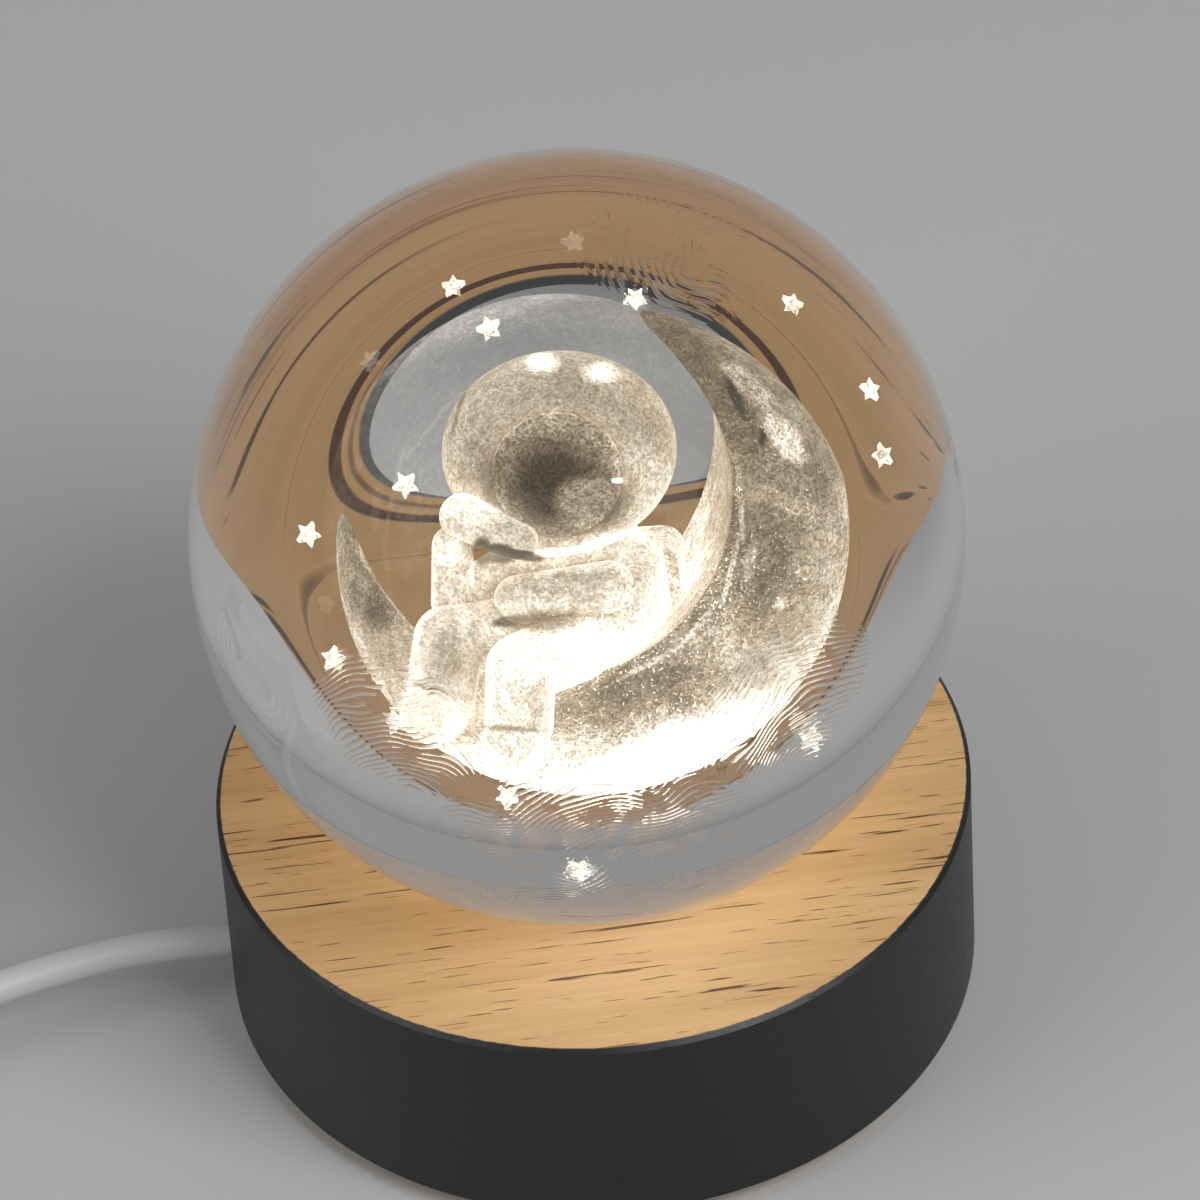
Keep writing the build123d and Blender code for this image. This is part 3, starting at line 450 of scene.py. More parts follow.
@dataclass(frozen=True)
class ClearSolid(Finish):
    """Polished clear glass or acrylic: what is behind it shows turned over, with a sharp reflection on top.

    Attributes:
        touches: the fingerprints on it.
        ridge_mm: from one ridge of a fingerprint to the next.
        smudge: how rough a ridge is.
        ridge_depth_mm: how far a ridge stands up, drawn deeper than skin grease so that it shows.
        whorl: the point that the ridges bend round, in millimetres from the print's middle.
        bend_mm: size of the bends in the ridges.
        bend_reach: how far noise pushes the ridges out of round, in millimetres.
        break_mm: size of the places where the ridges break off.
        fade: where a print begins to fade, as a share of its reach.
    """

    touches: tuple[Touch, ...] = ()
    ridge_mm: float = 0.48
    smudge: float = 0.24
    ridge_depth_mm: float = 0.008
    whorl: Point = (2.5, 0.0, -7.0)
    bend_mm: float = 7.0
    bend_reach: float = 5.0
    break_mm: float = 1.6
    fade: float = 0.6

    def paint(self, tree: Tree) -> dict[str, Any]:
        """Let the light through, and put the fingerprints into the gloss and the relief.

        A print's ridges are arcs about a point beside its middle, sin(2 pi d / spacing), with d bent by slow
        noise.

        Args:
            tree: the material's tree.
        Returns:
            The shader's inputs.
        """
        if not self.touches:
            return {"Transmission Weight": 1.0}
        place = add(tree, "TexCoord").outputs["Object"]
        slow = add(tree, "TexNoise", {"Vector": place, "Scale": per_metre(self.bend_mm), "Detail": 1.0})
        broken = add(tree, "TexNoise", {"Vector": place, "Scale": per_metre(self.break_mm), "Detail": 2.0})
        inked = add(tree, "MapRange", {"Value": broken, "From Min": 0.32, "From Max": 0.55})
        total: Node | float = 0.0
        for touch in self.touches:
            middle = tuple(((np.array(touch.centre) + BALL_CENTRE) * MM).tolist())
            local = add(tree, "Mapping", {"Vector": place, "Location": middle,
                                          "Scale": (MM, touch.squeeze * MM, MM)}, vector_type="TEXTURE")
            away = add(tree, "VectorMath", {0: local}, operation="LENGTH").outputs["Value"]
            beside = add(tree, "VectorMath", {0: local, 1: self.whorl}, operation="DISTANCE")
            bent = add(tree, "Math", {0: slow, 1: self.bend_reach, 2: beside.outputs["Value"]},
                       operation="MULTIPLY_ADD")
            phase = add(tree, "Math", {0: bent, 1: 2 * math.pi / self.ridge_mm}, operation="MULTIPLY")
            wave = add(tree, "Math", {0: phase}, operation="SINE")
            ridge = add(tree, "MapRange", {"Value": wave, "From Min": -0.3, "From Max": 0.6})
            inside = add(tree, "MapRange", {"Value": away, "From Min": touch.reach,
                                            "From Max": touch.reach * self.fade})
            shown = add(tree, "Math", {0: inside, 1: inked}, operation="MULTIPLY")
            line = add(tree, "Math", {0: ridge, 1: shown}, operation="MULTIPLY")
            total = add(tree, "Math", {0: total, 1: line}, operation="MAXIMUM")
        blur = add(tree, "MapRange", {"Value": total, "To Min": self.roughness, "To Max": self.smudge})
        bump = add(tree, "Bump", {"Height": total, "Strength": 1.0, "Distance": self.ridge_depth_mm * MM})
        return {"Transmission Weight": 1.0, "Roughness": blur, "Normal": bump}


@dataclass(frozen=True)
class Mark:
    """A soft oval patch of the engraving that glows more or less than the rest. Most are painted light and
    shade: highlights, a glint, a brighter glow low down and shade in hollows and between limbs; others are
    bright craters and seams of the engraving.

    Attributes:
        right: its middle, in millimetres as the picture is seen through the ball, as are all lengths here.
        up: its middle.
        wide: half its width.
        high: half its height.
        level: the brightness in its middle.
        turn: how far it is turned to the left, in degrees.
        soft: how far its edge fades, as a share of its size.
    """

    right: float
    up: float
    wide: float
    high: float
    level: float
    turn: float = 0.0
    soft: float = 0.4


@dataclass(frozen=True)
class LaserCracks(Finish):
    """Laser cracks inside crystal: a close cloud of white dots with gaps, with a painted warm glow that
    stands for the light of the well below.

    Attributes:
        level: brightness of the dots at the distance level_mm from the ball's foot.
        level_mm: that distance.
        fall: how fast the brightness falls with the distance, 1 for the square law.
        cover: how far a dot reaches in its cell, from 0 to 1.
        speckle: how much one dot differs from the next.
        patchy: how much the brightness varies in patches.
        patch_mm: sizes of the patches.
        rim: how much brighter the painted glow is along the outline, where the surface turns away from the
            picture's front.
        crease: how dark the painted shade in a crease is.
        crease_mm: how wide a crease is.
        marks: patches that the photograph shows brighter or darker, most of them painted highlights, painted
            glow and painted shade.
        warm: colour of a faint dot's glow.
        full: colour of a bright dot's glow.
        heat: how fast the colour goes from warm to full with the brightness.
        dot_mm: from dot to dot, about twice the real spacing, which would be too fine to show.
        dot_edge: how far a dot's edge fades, in the terms of cover.
    """

    sampling: Sampling = Sampling.NEVER
    level: float = 1.0
    level_mm: float = 27.0
    fall: float = 1.0
    cover: float = 0.7
    speckle: float = 0.5
    patchy: float = 0.25
    patch_mm: tuple[float, float] = (2.6, 0.7)
    rim: float = 1.45
    crease: float = 0.45
    crease_mm: float = 1.2
    marks: tuple[Mark, ...] = ()
    warm: str = "E3C48F"
    full: str = "FFF6E6"
    heat: float = 0.8
    dot_mm: float = 0.14
    dot_edge: float = 0.1

    def seen(self, tree: Tree, inside: Node) -> Node:
        """Where a point of the picture shows: the glass shrinks what lies nearer to its front.

        A ball of glass shows a point at depth t before its middle at 1 / (1 + (n - 1) t / R) of the scale
        that the middle has.

        Args:
            tree: the material's tree.
            inside: the point, in millimetres from the ball's centre.
        Returns:
            Its place to the right and upwards, in millimetres.
        """
        along = [add(tree, "VectorMath", {0: inside, 1: tuple(axis.tolist())}, operation="DOT_PRODUCT")
                 for axis in (SIGHT_RIGHT, SIGHT_ABOVE, SIGHT_BACK)]
        right, above, depth = (product.outputs["Value"] for product in along)
        flat = add(tree, "CombineXYZ", {"X": right, "Y": above})
        shrink = add(tree, "Math", {0: depth, 1: (GLASS_IOR - 1) / BALL_RADIUS, 2: 1.0},
                     operation="MULTIPLY_ADD")
        return add(tree, "VectorMath", {0: flat, 1: shrink}, operation="DIVIDE")

    def shaded(self, tree: Tree, seen: Node) -> Node | float:
        """The brightness with every mark laid over it in turn.

        Args:
            tree: the material's tree.
            seen: where the point shows.
        Returns:
            The brightness before the fall of the light.
        """
        level: Node | float = self.level
        for mark in self.marks:
            local = add(tree, "Mapping", {
                "Vector": seen, "Location": (mark.right, mark.up, 0),
                "Rotation": (0, 0, math.radians(mark.turn)), "Scale": (mark.wide, mark.high, 1)},
                vector_type="TEXTURE")
            away = add(tree, "VectorMath", {0: local}, operation="LENGTH").outputs["Value"]
            weight = add(tree, "MapRange", {
                "Value": away, "From Min": 1 - mark.soft, "From Max": 1 + mark.soft, "To Min": 1.0,
                "To Max": 0.0}, interpolation_type="SMOOTHSTEP")
            level = add(tree, "Mix", {"Factor": weight, 2: level, 3: mark.level})
        return level

    def factors(self, tree: Tree, place: Node, inside: Node, cell: Node) -> list[Node]:
        """What the brightness is multiplied by: the painted fall of the light, the painted brighter outline,
        dots, painted shade in creases, and patches.

        Args:
            tree: the material's tree.
            place: the texture coordinates.
            inside: the point, in millimetres from the ball's centre.
            cell: the dots' cells.
        Returns:
            One node for each factor.
        """
        # Painted light: the glow falls off with the distance from the ball's foot, where the LEDs shine
        away = add(tree, "VectorMath", {0: inside, 1: (0, 0, -BALL_RADIUS)}, operation="DISTANCE")
        near = add(tree, "Math", {0: self.level_mm, 1: away.outputs["Value"]}, operation="DIVIDE")
        lit = add(tree, "Math", {0: near, 1: 2 * self.fall}, operation="POWER")
        # Painted shade: ambient occlusion darkens the glow in creases and where parts meet
        crease = add(tree, "AmbientOcclusion", {"Distance": self.crease_mm * MM}, only_local=True, samples=6)
        painted_crease_shade = add(tree, "MapRange", {"Value": crease.outputs["AO"], "From Min": 0.35, "From Max": 0.9,
                                          "To Min": self.crease, "To Max": 1.0})
        # Painted light: the glow is made brighter where the surface turns away from the line of sight
        facing = add(tree, "VectorMath", {0: place.outputs["Normal"], 1: tuple(SIGHT_BACK.tolist())},
                     operation="DOT_PRODUCT")
        outline = add(tree, "MapRange", {"Value": facing.outputs["Value"], "From Max": 0.8,
                                         "To Min": self.rim, "To Max": 1.0}, interpolation_type="SMOOTHSTEP")
        chance = add(tree, "SeparateColor", {"Color": cell.outputs["Color"]})
        sparkle = add(tree, "MapRange", {"Value": chance, "To Min": 1 - self.speckle,
                                         "To Max": 1 + self.speckle})
        patches = []
        for size_mm in self.patch_mm:
            noise = add(tree, "TexNoise", {"Vector": place.outputs["Object"], "Scale": per_metre(size_mm),
                                           "Detail": 2.0})
            patches.append(add(tree, "MapRange", {"Value": noise, "From Min": 0.3, "From Max": 0.7,
                                                  "To Min": 1 - self.patchy, "To Max": 1 + self.patchy}))
        return [lit, outline, sparkle, painted_crease_shade, *patches]

    def paint(self, tree: Tree) -> dict[str, Any]:
        """Make the dots glow with painted light, warmer where they are faint, and leave the gaps between
        them clear.

        Args:
            tree: the material's tree.
        Returns:
            The shader's inputs.
        """
        place = add(tree, "TexCoord")
        moved = add(tree, "VectorMath", {0: place.outputs["Object"], 1: tuple((BALL_CENTRE * MM).tolist())},
                    operation="SUBTRACT")
        inside = add(tree, "VectorMath", {0: moved, "Scale": 1 / MM}, operation="SCALE")
        cell = add(tree, "TexVoronoi", {"Vector": place.outputs["Object"], "Scale": per_metre(self.dot_mm)})
        # The emission is painted light: the dots glow by themselves in place of the LEDs' light that they
        # scatter
        strength = self.shaded(tree, self.seen(tree, inside))
        for factor in self.factors(tree, place, inside, cell):
            strength = add(tree, "Math", {0: strength, 1: factor}, operation="MULTIPLY")
        hot = add(tree, "Math", {0: strength, 1: self.heat}, operation="MULTIPLY", use_clamp=True)
        tint = add(tree, "Mix", {"Factor": hot, 6: linear(self.warm), 7: linear(self.full)},
                   data_type="RGBA")
        dot = add(tree, "MapRange", {"Value": cell.outputs["Distance"], "From Min": self.cover,
                                     "From Max": self.cover + self.dot_edge, "To Min": 1.0, "To Max": 0.0})
        return {"Emission Color": tint.outputs[2], "Emission Strength": strength, "Alpha": dot}


@dataclass(frozen=True)
class Glowing(Finish):
    """A lit LED: yellow phosphor that glows warm white.

    Attributes:
        grain: colour of the phosphor's deeper yellow grains.
        grain_mm: size of a grain.
        glow: colour of its light.
        strength: how brightly it glows.
    """

    grain: str = "F6C84A"
    grain_mm: float = 0.4
    glow: str = "FFDFA0"
    strength: float = 1.6

    def paint(self, tree: Tree) -> dict[str, Any]:
        """Set the glow, with the phosphor's own grain in its colour.

        Args:
            tree: the material's tree.
        Returns:
            The shader's inputs.
        """
        place = add(tree, "TexCoord").outputs["Object"]
        grains = add(tree, "TexNoise", {"Vector": place, "Scale": per_metre(self.grain_mm)})
        colour = add(tree, "Mix", {"Factor": grains, 6: linear(self.colour), 7: linear(self.grain)},
                     data_type="RGBA")
        return {"Base Color": colour.outputs[2], "Emission Color": linear(self.glow),
                "Emission Strength": self.strength}


# Satin-lacquered pale hardwood: low sheen, fibres along X, dark dashes of open pores
WOOD = StainedWood("lacquered_pale_hardwood_black_side", "D2AF80", 0.42)
# Optical crystal, ground and polished: clear, with fingerprints low on its front and near its top
CRYSTAL = ClearSolid("polished_optical_crystal", "FFFFFF", 0.0, GLASS_IOR, touches=(
    Touch((-7.0, -28.2, -7.5), 9.0), Touch((5.5, -28.6, -7.0), 9.5, 0.8),
    Touch((-14.5, -25.5, 5.5), 8.5, 0.7), Touch((9.0, 0.0, 28.6), 8.5, 0.9),
    Touch((15.0, -25.2, 4.5), 8.0, 1.2), Touch((-1.0, -29.9, -1.5), 7.5, 1.2),
))
# Cast acrylic, laser cut: clear and slightly hazed
ACRYLIC = ClearSolid("cast_clear_acrylic", "FDFDFB", 0.08, 1.49)
# Laser engraving under the crystal's surface: close white dots whose painted glow stands for the LEDs'
# light, strongest near the light well.
# The moon is grey and patchy, with bright craters, painted shade in the hollow under the knees and a white
# lower edge of painted glow nearest the light well
MOON_CRACKS = LaserCracks(
    "laser_cracks_moon", "857F74", 0.7, level=0.66, fall=1.5, cover=0.74, speckle=0.45, patchy=0.26,
    dot_mm=0.13, marks=(
        Mark(9.43, -0.8, 1.7, 3.2, 0.44, 15, 0.6), Mark(10.79, 5.13, 1.5, 0.7, 2.2, -48),
        Mark(8.92, 7.84, 1.6, 0.6, 1.5, -42), Mark(8.16, 7.25, 0.28, 1.2, 0.16, 25),
        Mark(9.6, 5.1, 0.2, 0.5, 0.16), Mark(10.45, 1.9, 2.6, 0.5, 1.0, -18, 0.6),
        # Painted shade: the first mark here darkens the hollow under the knees
        Mark(3.0, -8.2, 4.4, 1.3, 0.28, 14, 0.65), Mark(8.38, 1.9, 0.16, 2.0, 1.2, 4),
        Mark(7.82, -1.99, 0.16, 2.0, 1.2, -14), Mark(6.21, -4.53, 0.16, 1.7, 1.2, -40),
        Mark(3.84, -6.4, 0.16, 1.7, 1.1, -62), Mark(8.92, -1.3, 0.3, 1.1, 1.0, -8),
        Mark(6.0, -1.5, 1.0, 1.5, 0.95, -25, 0.6), Mark(10.53, -3.4, 0.4, 0.4, 1.2),
        Mark(-9.73, -2.5, 2.6, 0.35, 1.5, -52), Mark(-10.2, -4.0, 0.7, 0.9, 0.32, 0, 0.5),
        # Painted light: the white lower edge, nearest the light well
        Mark(5.8, -10.9, 6.2, 1.2, 1.5, 22, 0.6),
    ))
# The helmet is cream, with a painted brighter glow on its chin and two painted highlights on its crown, and
# dark round the visor
HELMET_CRACKS = LaserCracks(
    "laser_cracks_helmet", "8E8A82", 0.7, level=0.86, fall=0.75, cover=0.80, speckle=0.35, patchy=0.16,
    rim=1.25, marks=(
        # Painted light: the bright chin, and the two highlights on the crown on this line and the next
        Mark(-1.76, 0.4, 4.4, 0.8, 2.0, -9, 0.5), Mark(-1.77, 8.86, 0.7, 0.45, 2.4, 0, 0.8),
        Mark(1.29, 8.35, 0.7, 0.45, 2.4, 0, 0.8), Mark(-1.94, 7.16, 1.5, 0.16, 0.8, -8, 0.7),
        Mark(-6.0, 6.5, 0.12, 1.5, 0.5, -15), Mark(3.3, 2.6, 1.2, 2.2, 1.2, 0, 0.6),
        Mark(-1.0, 2.6, 3.5, 2.9, 0.10, -15, 0.3),
    ))
# The visor is dark in its middle, with a paler smudge low on its right and a small sharp painted highlight
VISOR_CRACKS = LaserCracks(
    "laser_cracks_visor", "4A4844", 0.6, level=0.72, fall=0.5, cover=0.74, speckle=0.5, crease=1.0, marks=(
        Mark(-1.1, 2.5, 2.9, 2.5, 0.11, -20, 0.6), Mark(0.61, 1.7, 1.6, 1.3, 0.55, 0, 0.3),
        # Painted highlight: the small sharp glint is the last mark here
        Mark(1.96, 3.94, 0.12, 1.1, 0.8, 15), Mark(2.09, 2.8, 0.26, 0.12, 6.0),
    ))
# The suit glows white in the lap and the legs as painted light, with painted shade in the gaps under the
# chin and between the limbs
SUIT_CRACKS = LaserCracks(
    "laser_cracks_suit", "8E8A82", 0.7, level=1.3, fall=0.95, cover=0.82, speckle=0.3, patchy=0.18, marks=(
        # Painted light: the white lap, and on the next line the bright forearm and hand
        Mark(0.27, -5.9, 4.2, 1.5, 2.0, 0, 0.6), Mark(-2.1, -2.33, 2.6, 0.8, 0.95, 5, 0.5),
        Mark(-5.5, 1.6, 1.6, 0.8, 2.0, -20, 0.6), Mark(-6.3, -0.8, 0.6, 0.8, 1.7, 0, 0.7),
        # Painted shade: the shaded left knee, and the dark gaps under the chin and between the limbs on this
        # line and the next
        Mark(-6.17, -6.2, 1.2, 1.6, 0.85, -40, 0.5), Mark(-4.75, -0.75, 0.5, 0.7, 0.12, 0, 0.3),
        Mark(-3.9, -0.86, 0.9, 0.5, 0.12, -6, 0.3), Mark(-2.7, -0.95, 1.1, 0.26, 0.12, -8, 0.3),
        Mark(-3.37, -4.28, 0.9, 0.25, 0.20, 8), Mark(-1.76, -4.28, 1.6, 0.5, 0.6, 0, 0.5),
        Mark(-7.2, -7.85, 1.8, 0.2, 0.55, -14, 0.7), Mark(-3.6, -9.9, 1.8, 0.16, 0.6, -3, 0.7),
    ))
# The backpack is even, and dimmer than the suit
PACK_CRACKS = LaserCracks("laser_cracks_backpack", "8E8A82", 0.7, level=0.9, fall=0.9)
# The stars are bright at any height in the ball
STAR_CRACKS = LaserCracks("laser_cracks_stars", "8E8A82", 0.7, level=1.5, fall=0.2, cover=0.8)
# Extruded soft PVC jacket: dull grey, faintly mottled
PVC = Moulded("extruded_pvc_jacket", "CFCFD0", 0.45, shade="BDBDBF", grain_mm=0.5, grain_depth_mm=0.01)
# Injection-moulded ABS from a spark-eroded mould: dull white
WHITE_ABS = Moulded("moulded_white_abs", "E9E9E6", 0.42)
# The same in black
BLACK_ABS = Moulded("moulded_black_abs", "1B1B1C", 0.5, shade="131313")
# Moulded soft rubber: black and dull
RUBBER = Moulded("moulded_soft_rubber", "1E1E1E", 0.85, shade="161616", grain_mm=0.5)
# Natural nylon cable tie: milky and half glossy
NYLON = Moulded("moulded_natural_nylon", "E8E6DC", 0.4, shade="DCD9CC")
# Woven nylon strap of the coil: black threads, dull
STRAP = Woven("woven_nylon_strap", "2B2B2C", 0.8, turn=120.0)
# Glass-fibre board under white solder mask: even and slightly glossy
MASK = Moulded("white_solder_mask_board", "E2E2DC", 0.35, shade="D4D4CE", grain_mm=0.6)
# Extruded insulation of the two cores: smooth and half glossy
RED_CORE = Moulded("extruded_red_insulation", "A31512", 0.35, shade="8E100E")
BLACK_CORE = Moulded("extruded_black_insulation", "161616", 0.35, shade="101010")
# Thick-film chip resistor: black glaze
GLAZE = Moulded("glazed_chip_resistor", "141414", 0.25, shade="1C1C1C")
# Zinc-plated steel screws: bluish grey, dulled in patches
ZINC = Metal("zinc_plated_steel", "C9CACB", 0.32)
# Nickel-plated pressed sheet: warm grey and fairly bright
NICKEL = Metal("nickel_plated_sheet", "D9D8D4", 0.2, tarnish="B9B8B3")
# Stamped brass: yellow, browner in patches
BRASS = Metal("stamped_brass", "D8B25E", 0.3, tarnish="A9843E")
# Gold-flashed contacts: deep yellow and bright
GOLD = Metal("gold_flashed_contact", "E8C25A", 0.2, tarnish="C9A044")
# Lead-free solder: bright grey, as it set
SOLDER = Metal("reflowed_solder", "C4C6C8", 0.22, tarnish="A0A2A4")
# Warm LED under yellow phosphor: glowing
LED = Glowing("warm_led_phosphor", "F2D36B", 0.5)

NODE_FINISHES: dict[str, Finish] = {
    "wood_base": WOOD,
    "engraved_moon": MOON_CRACKS,
    "engraved_visor": VISOR_CRACKS,
    "engraved_suit": SUIT_CRACKS,
    "engraved_backpack": PACK_CRACKS,
    "engraved_stars": STAR_CRACKS,
    "light_window": ACRYLIC,
    "led_board": MASK,
    "leds": LED,
    "resistors": GLAZE,
    "solder_joints": SOLDER,
    "board_screws": ZINC,
    "wire_red": RED_CORE,
    "wire_black": BLACK_CORE,
    "cord_inner_end": PVC,
    "cord_stop_tie": NYLON,
    "bottom_cover": BLACK_ABS,
    "cover_screws": ZINC,
    "rubber_feet": RUBBER,
    "switch_top_shell": WHITE_ABS,
    "switch_bottom_shell": WHITE_ABS,
    "switch_rocker": WHITE_ABS,
    "switch_bridge": BRASS,
    "switch_terminals": BRASS,
    "switch_screws": ZINC,
    "usb_plug_body": WHITE_ABS,
    "usb_plug_shell": NICKEL,
    "usb_plug_tongue": WHITE_ABS,
    "usb_plug_contacts": GOLD,
}


def in_scene(name: str, data: bpy.types.ID) -> bpy.types.Object:
    """Put a mesh, curve, lamp or camera into the scene as an object at the origin.

    Args:
        name: the object's name.
        data: the mesh, curve, lamp or camera.
    Returns:
        The object.
    """
    made = bpy.data.objects.new(name, data)
    bpy.context.scene.collection.objects.link(made)
    return made


def new_piece(name: str, data: bpy.types.ID, finish: Finish, body: Body,
              nodes: list[str]) -> bpy.types.Object:
    """Put a mesh or curve into the scene as a piece that stands for CAD nodes.

    Args:
        name: the piece's name.
        data: its mesh or curve, with its place in it.
        finish: what it is made of.
        body: the body that it moves with.
        nodes: the CAD nodes that it stands for.
    Returns:
        The piece.
    """
    piece = in_scene(name, data)
    data.materials.append(finish.make())
    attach(piece, body.value)
    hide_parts(*nodes)
    LOG.info("%s stands for %s", name, ", ".join(nodes))
    return piece


def mesh_of(name: str, points: np.ndarray, faces: list[list[int]], smooth: bool = True) -> bpy.types.Mesh:
    """Make a mesh from points and faces.

    Args:
        name: the mesh's name.
        points: one row of millimetres for each vertex.
        faces: the vertex numbers of each face.
        smooth: whether it is shaded as one round surface.
    Returns:
        The mesh, in metres.
    """
    mesh = bpy.data.meshes.new(name)
    mesh.from_pydata((points * MM).tolist(), [], faces)
    mesh.polygons.foreach_set("use_smooth", np.full(len(mesh.polygons), smooth))
    mesh.update()
    return mesh


def ring_faces(rings: int, sides: int, joined: bool = False) -> np.ndarray:
    """Faces between rings of points that follow each other.

    Face (r, s) has the points (r, s), (r + 1, s), (r + 1, s + 1) and (r, s + 1). The count s goes round the
    ring, and so does r from ring to ring where the last one is joined to the first.

    Args:
        rings: number of rings.
        sides: points in a ring.
        joined: whether the last ring is joined to the first.
    Returns:
        One row of four vertex numbers for each face.
    """
    row, side = np.meshgrid(np.arange(rings if joined else rings - 1), np.arange(sides), indexing="ij")
    corners = ((row, side), (row + 1, side), (row + 1, side + 1), (row, side + 1))
    return np.stack([r % rings * sides + s % sides for r, s in corners], axis=-1).reshape(-1, 4)


def ring_ends(first: int, rings: int, sides: int) -> list[list[int]]:
    """The two faces that close the first and the last of some rings.

    Args:
        first: number of the first ring's first vertex.
        rings: number of rings.
        sides: points in a ring.
    Returns:
        Both faces.
    """
    start = list(range(first, first + sides))
    end = list(range(first + (rings - 1) * sides, first + rings * sides))
    return [start, end[::-1]]


@dataclass
class PortraitCamera:
    """The photograph's camera, fitted to the ball's outline and to the base's two rims.

    Attributes:
        eye: where it stands, in millimetres.
        lens: focal length, in millimetres.
        sensor: width of the sensor, in millimetres.
        reach: nearest and furthest distance that it sees, in metres.
    """

    eye: Point = (1.500, -445.327, 448.109)
    lens: float = 233.309
    sensor: float = 36.0
    reach: tuple[float, float] = (0.01, 20.0)

    def build(self) -> None:
        """Make the camera and give it to the scene."""
        data = bpy.data.cameras.new("portrait_camera")
        data.sensor_width = self.sensor
        data.lens = self.lens
        data.clip_start, data.clip_end = self.reach
        camera = in_scene("portrait_camera", data)
        turned = Matrix((SIGHT_RIGHT, SIGHT_ABOVE, SIGHT_BACK)).transposed().to_4x4()
        camera.matrix_world = Matrix.Translation(Vector(self.eye) * MM) @ turned
        bpy.context.scene.camera = camera


@dataclass
class PowerCord:
    """The power cord: its shown stretch, its coil, and the stretches to the switch and to the plug.

    Attributes:
        diameter: of the jacket, in millimetres, as are all lengths here.
        lead: points from the base to the coil.
        tail: points from the coil to the switch.
        end: points from the switch to the plug.
        coil_centre: middle of the coil.
        coil_radius: of the outermost turn.
        coil_turns: number of turns.
        coil_start: angle at which the coil begins, in degrees.
        coil_pitch: from one turn to the next, and from layer to layer.
        coil_low: height of the lower layer's line.
        steps: control points in a turn.
    """

    diameter: float = 2.8
    lead: tuple[Point, ...] = (
        (-29.989, -0.8, 5.6), (-34.989, -0.8, 5.6), (-41.0, -1.9, 5.6), (-48.2, -4.3, 5.6),
        (-54.8, -7.4, 5.5), (-61.745, -11.419, 5.35), (-66.075, -13.919, 5.35),
    )
    tail: tuple[Point, ...] = (
        (-57.0, 1.8, 2.05), (-57.0, -3.2, 2.05), (-56.6, -11.5, 1.7), (-56.6, -19.0, 2.3),
        (-59.0, -24.6, 3.3), (-64.4, -28.5, 4.6), (-72.0, -28.5, 4.6),
    )
    end: tuple[Point, ...] = (
        (-98.0, -28.5, 4.6), (-111.972, -28.5, 4.6), (-116.428, -25.928, 4.3), (-119.0, -21.472, 4.0),
        (-119.0, -15.0, 4.0),
    )
    coil_centre: tuple[float, float] = COIL_CENTRE
    coil_radius: float = 23.0
    coil_turns: float = 7.0 + 5.0 / 6.0
    coil_start: float = -60.0
    coil_pitch: float = 3.3
    coil_low: float = 2.05
    steps: int = 16

    def coil_points(self) -> np.ndarray:
        """Control points of the coil.

        The upper layer winds inwards by one pitch a turn, the cord goes down a layer in the half turn where
        the spiral reverses, and the lower layer winds outwards. A control point stands 1 / cos(pi / steps)
        further out than the line, because the spline touches the middle of each side of its polygon.

        Returns:
            One row for each point, in millimetres.
        """
        count = int(self.coil_turns * self.steps)
        turn = self.coil_turns * np.arange(1, count) / count
        reversal = self.coil_turns / 2 - 0.25
        phase = 2 * np.pi * np.clip(turn - reversal, 0, 0.5)
        inwards = self.coil_radius - self.coil_pitch * np.minimum(turn, reversal)
        innermost = self.coil_radius - self.coil_pitch * reversal
        middle = innermost - self.coil_pitch / (2 * np.pi) * np.sin(phase)
        outwards = self.coil_radius - self.coil_pitch * (self.coil_turns - turn)
        radius = np.where(turn < reversal, inwards, np.where(turn > reversal + 0.5, outwards, middle))
        radius = radius / math.cos(math.pi / self.steps)
        angle = np.radians(self.coil_start - 360 * turn)
        height = self.coil_low + self.coil_pitch / 2 * (1 + np.cos(phase))
        return np.stack([self.coil_centre[0] + radius * np.cos(angle),
                         self.coil_centre[1] + radius * np.sin(angle), height], axis=1)

    def spline(self, name: str, points: np.ndarray) -> bpy.types.Curve:
        """A round cord on one NURBS spline with these control points.

        Args:
            name: the curve's name.
            points: control points, in millimetres.
        Returns:
            The curve.
        """
        curve = bpy.data.curves.new(name, "CURVE")
        curve.dimensions = "3D"
        curve.bevel_depth = self.diameter / 2 * MM
        curve.bevel_resolution = 5
        curve.use_fill_caps = True
        line = curve.splines.new("NURBS")
        line.points.add(len(points) - 1)
        line.points.foreach_set("co", np.c_[points * MM, np.ones(len(points))].ravel())
        line.order_u = 3
        line.use_endpoint_u = True
        line.resolution_u = 6
        return curve

    def build(self, strap: bpy.types.Object) -> None:
        """Args:
            strap: the strap round the coil; not used.
        """
        first = np.vstack([self.lead, self.coil_points(), self.tail])
        long_cord = new_piece("power_cord", self.spline("power_cord", first), PVC, Body.BASE,
                              ["cord_lead", "cord_coil", "cord_tail"])
        short_cord = new_piece("plug_cord", self.spline("plug_cord", np.array(self.end)), PVC, Body.BASE,
                               ["cord_end"])


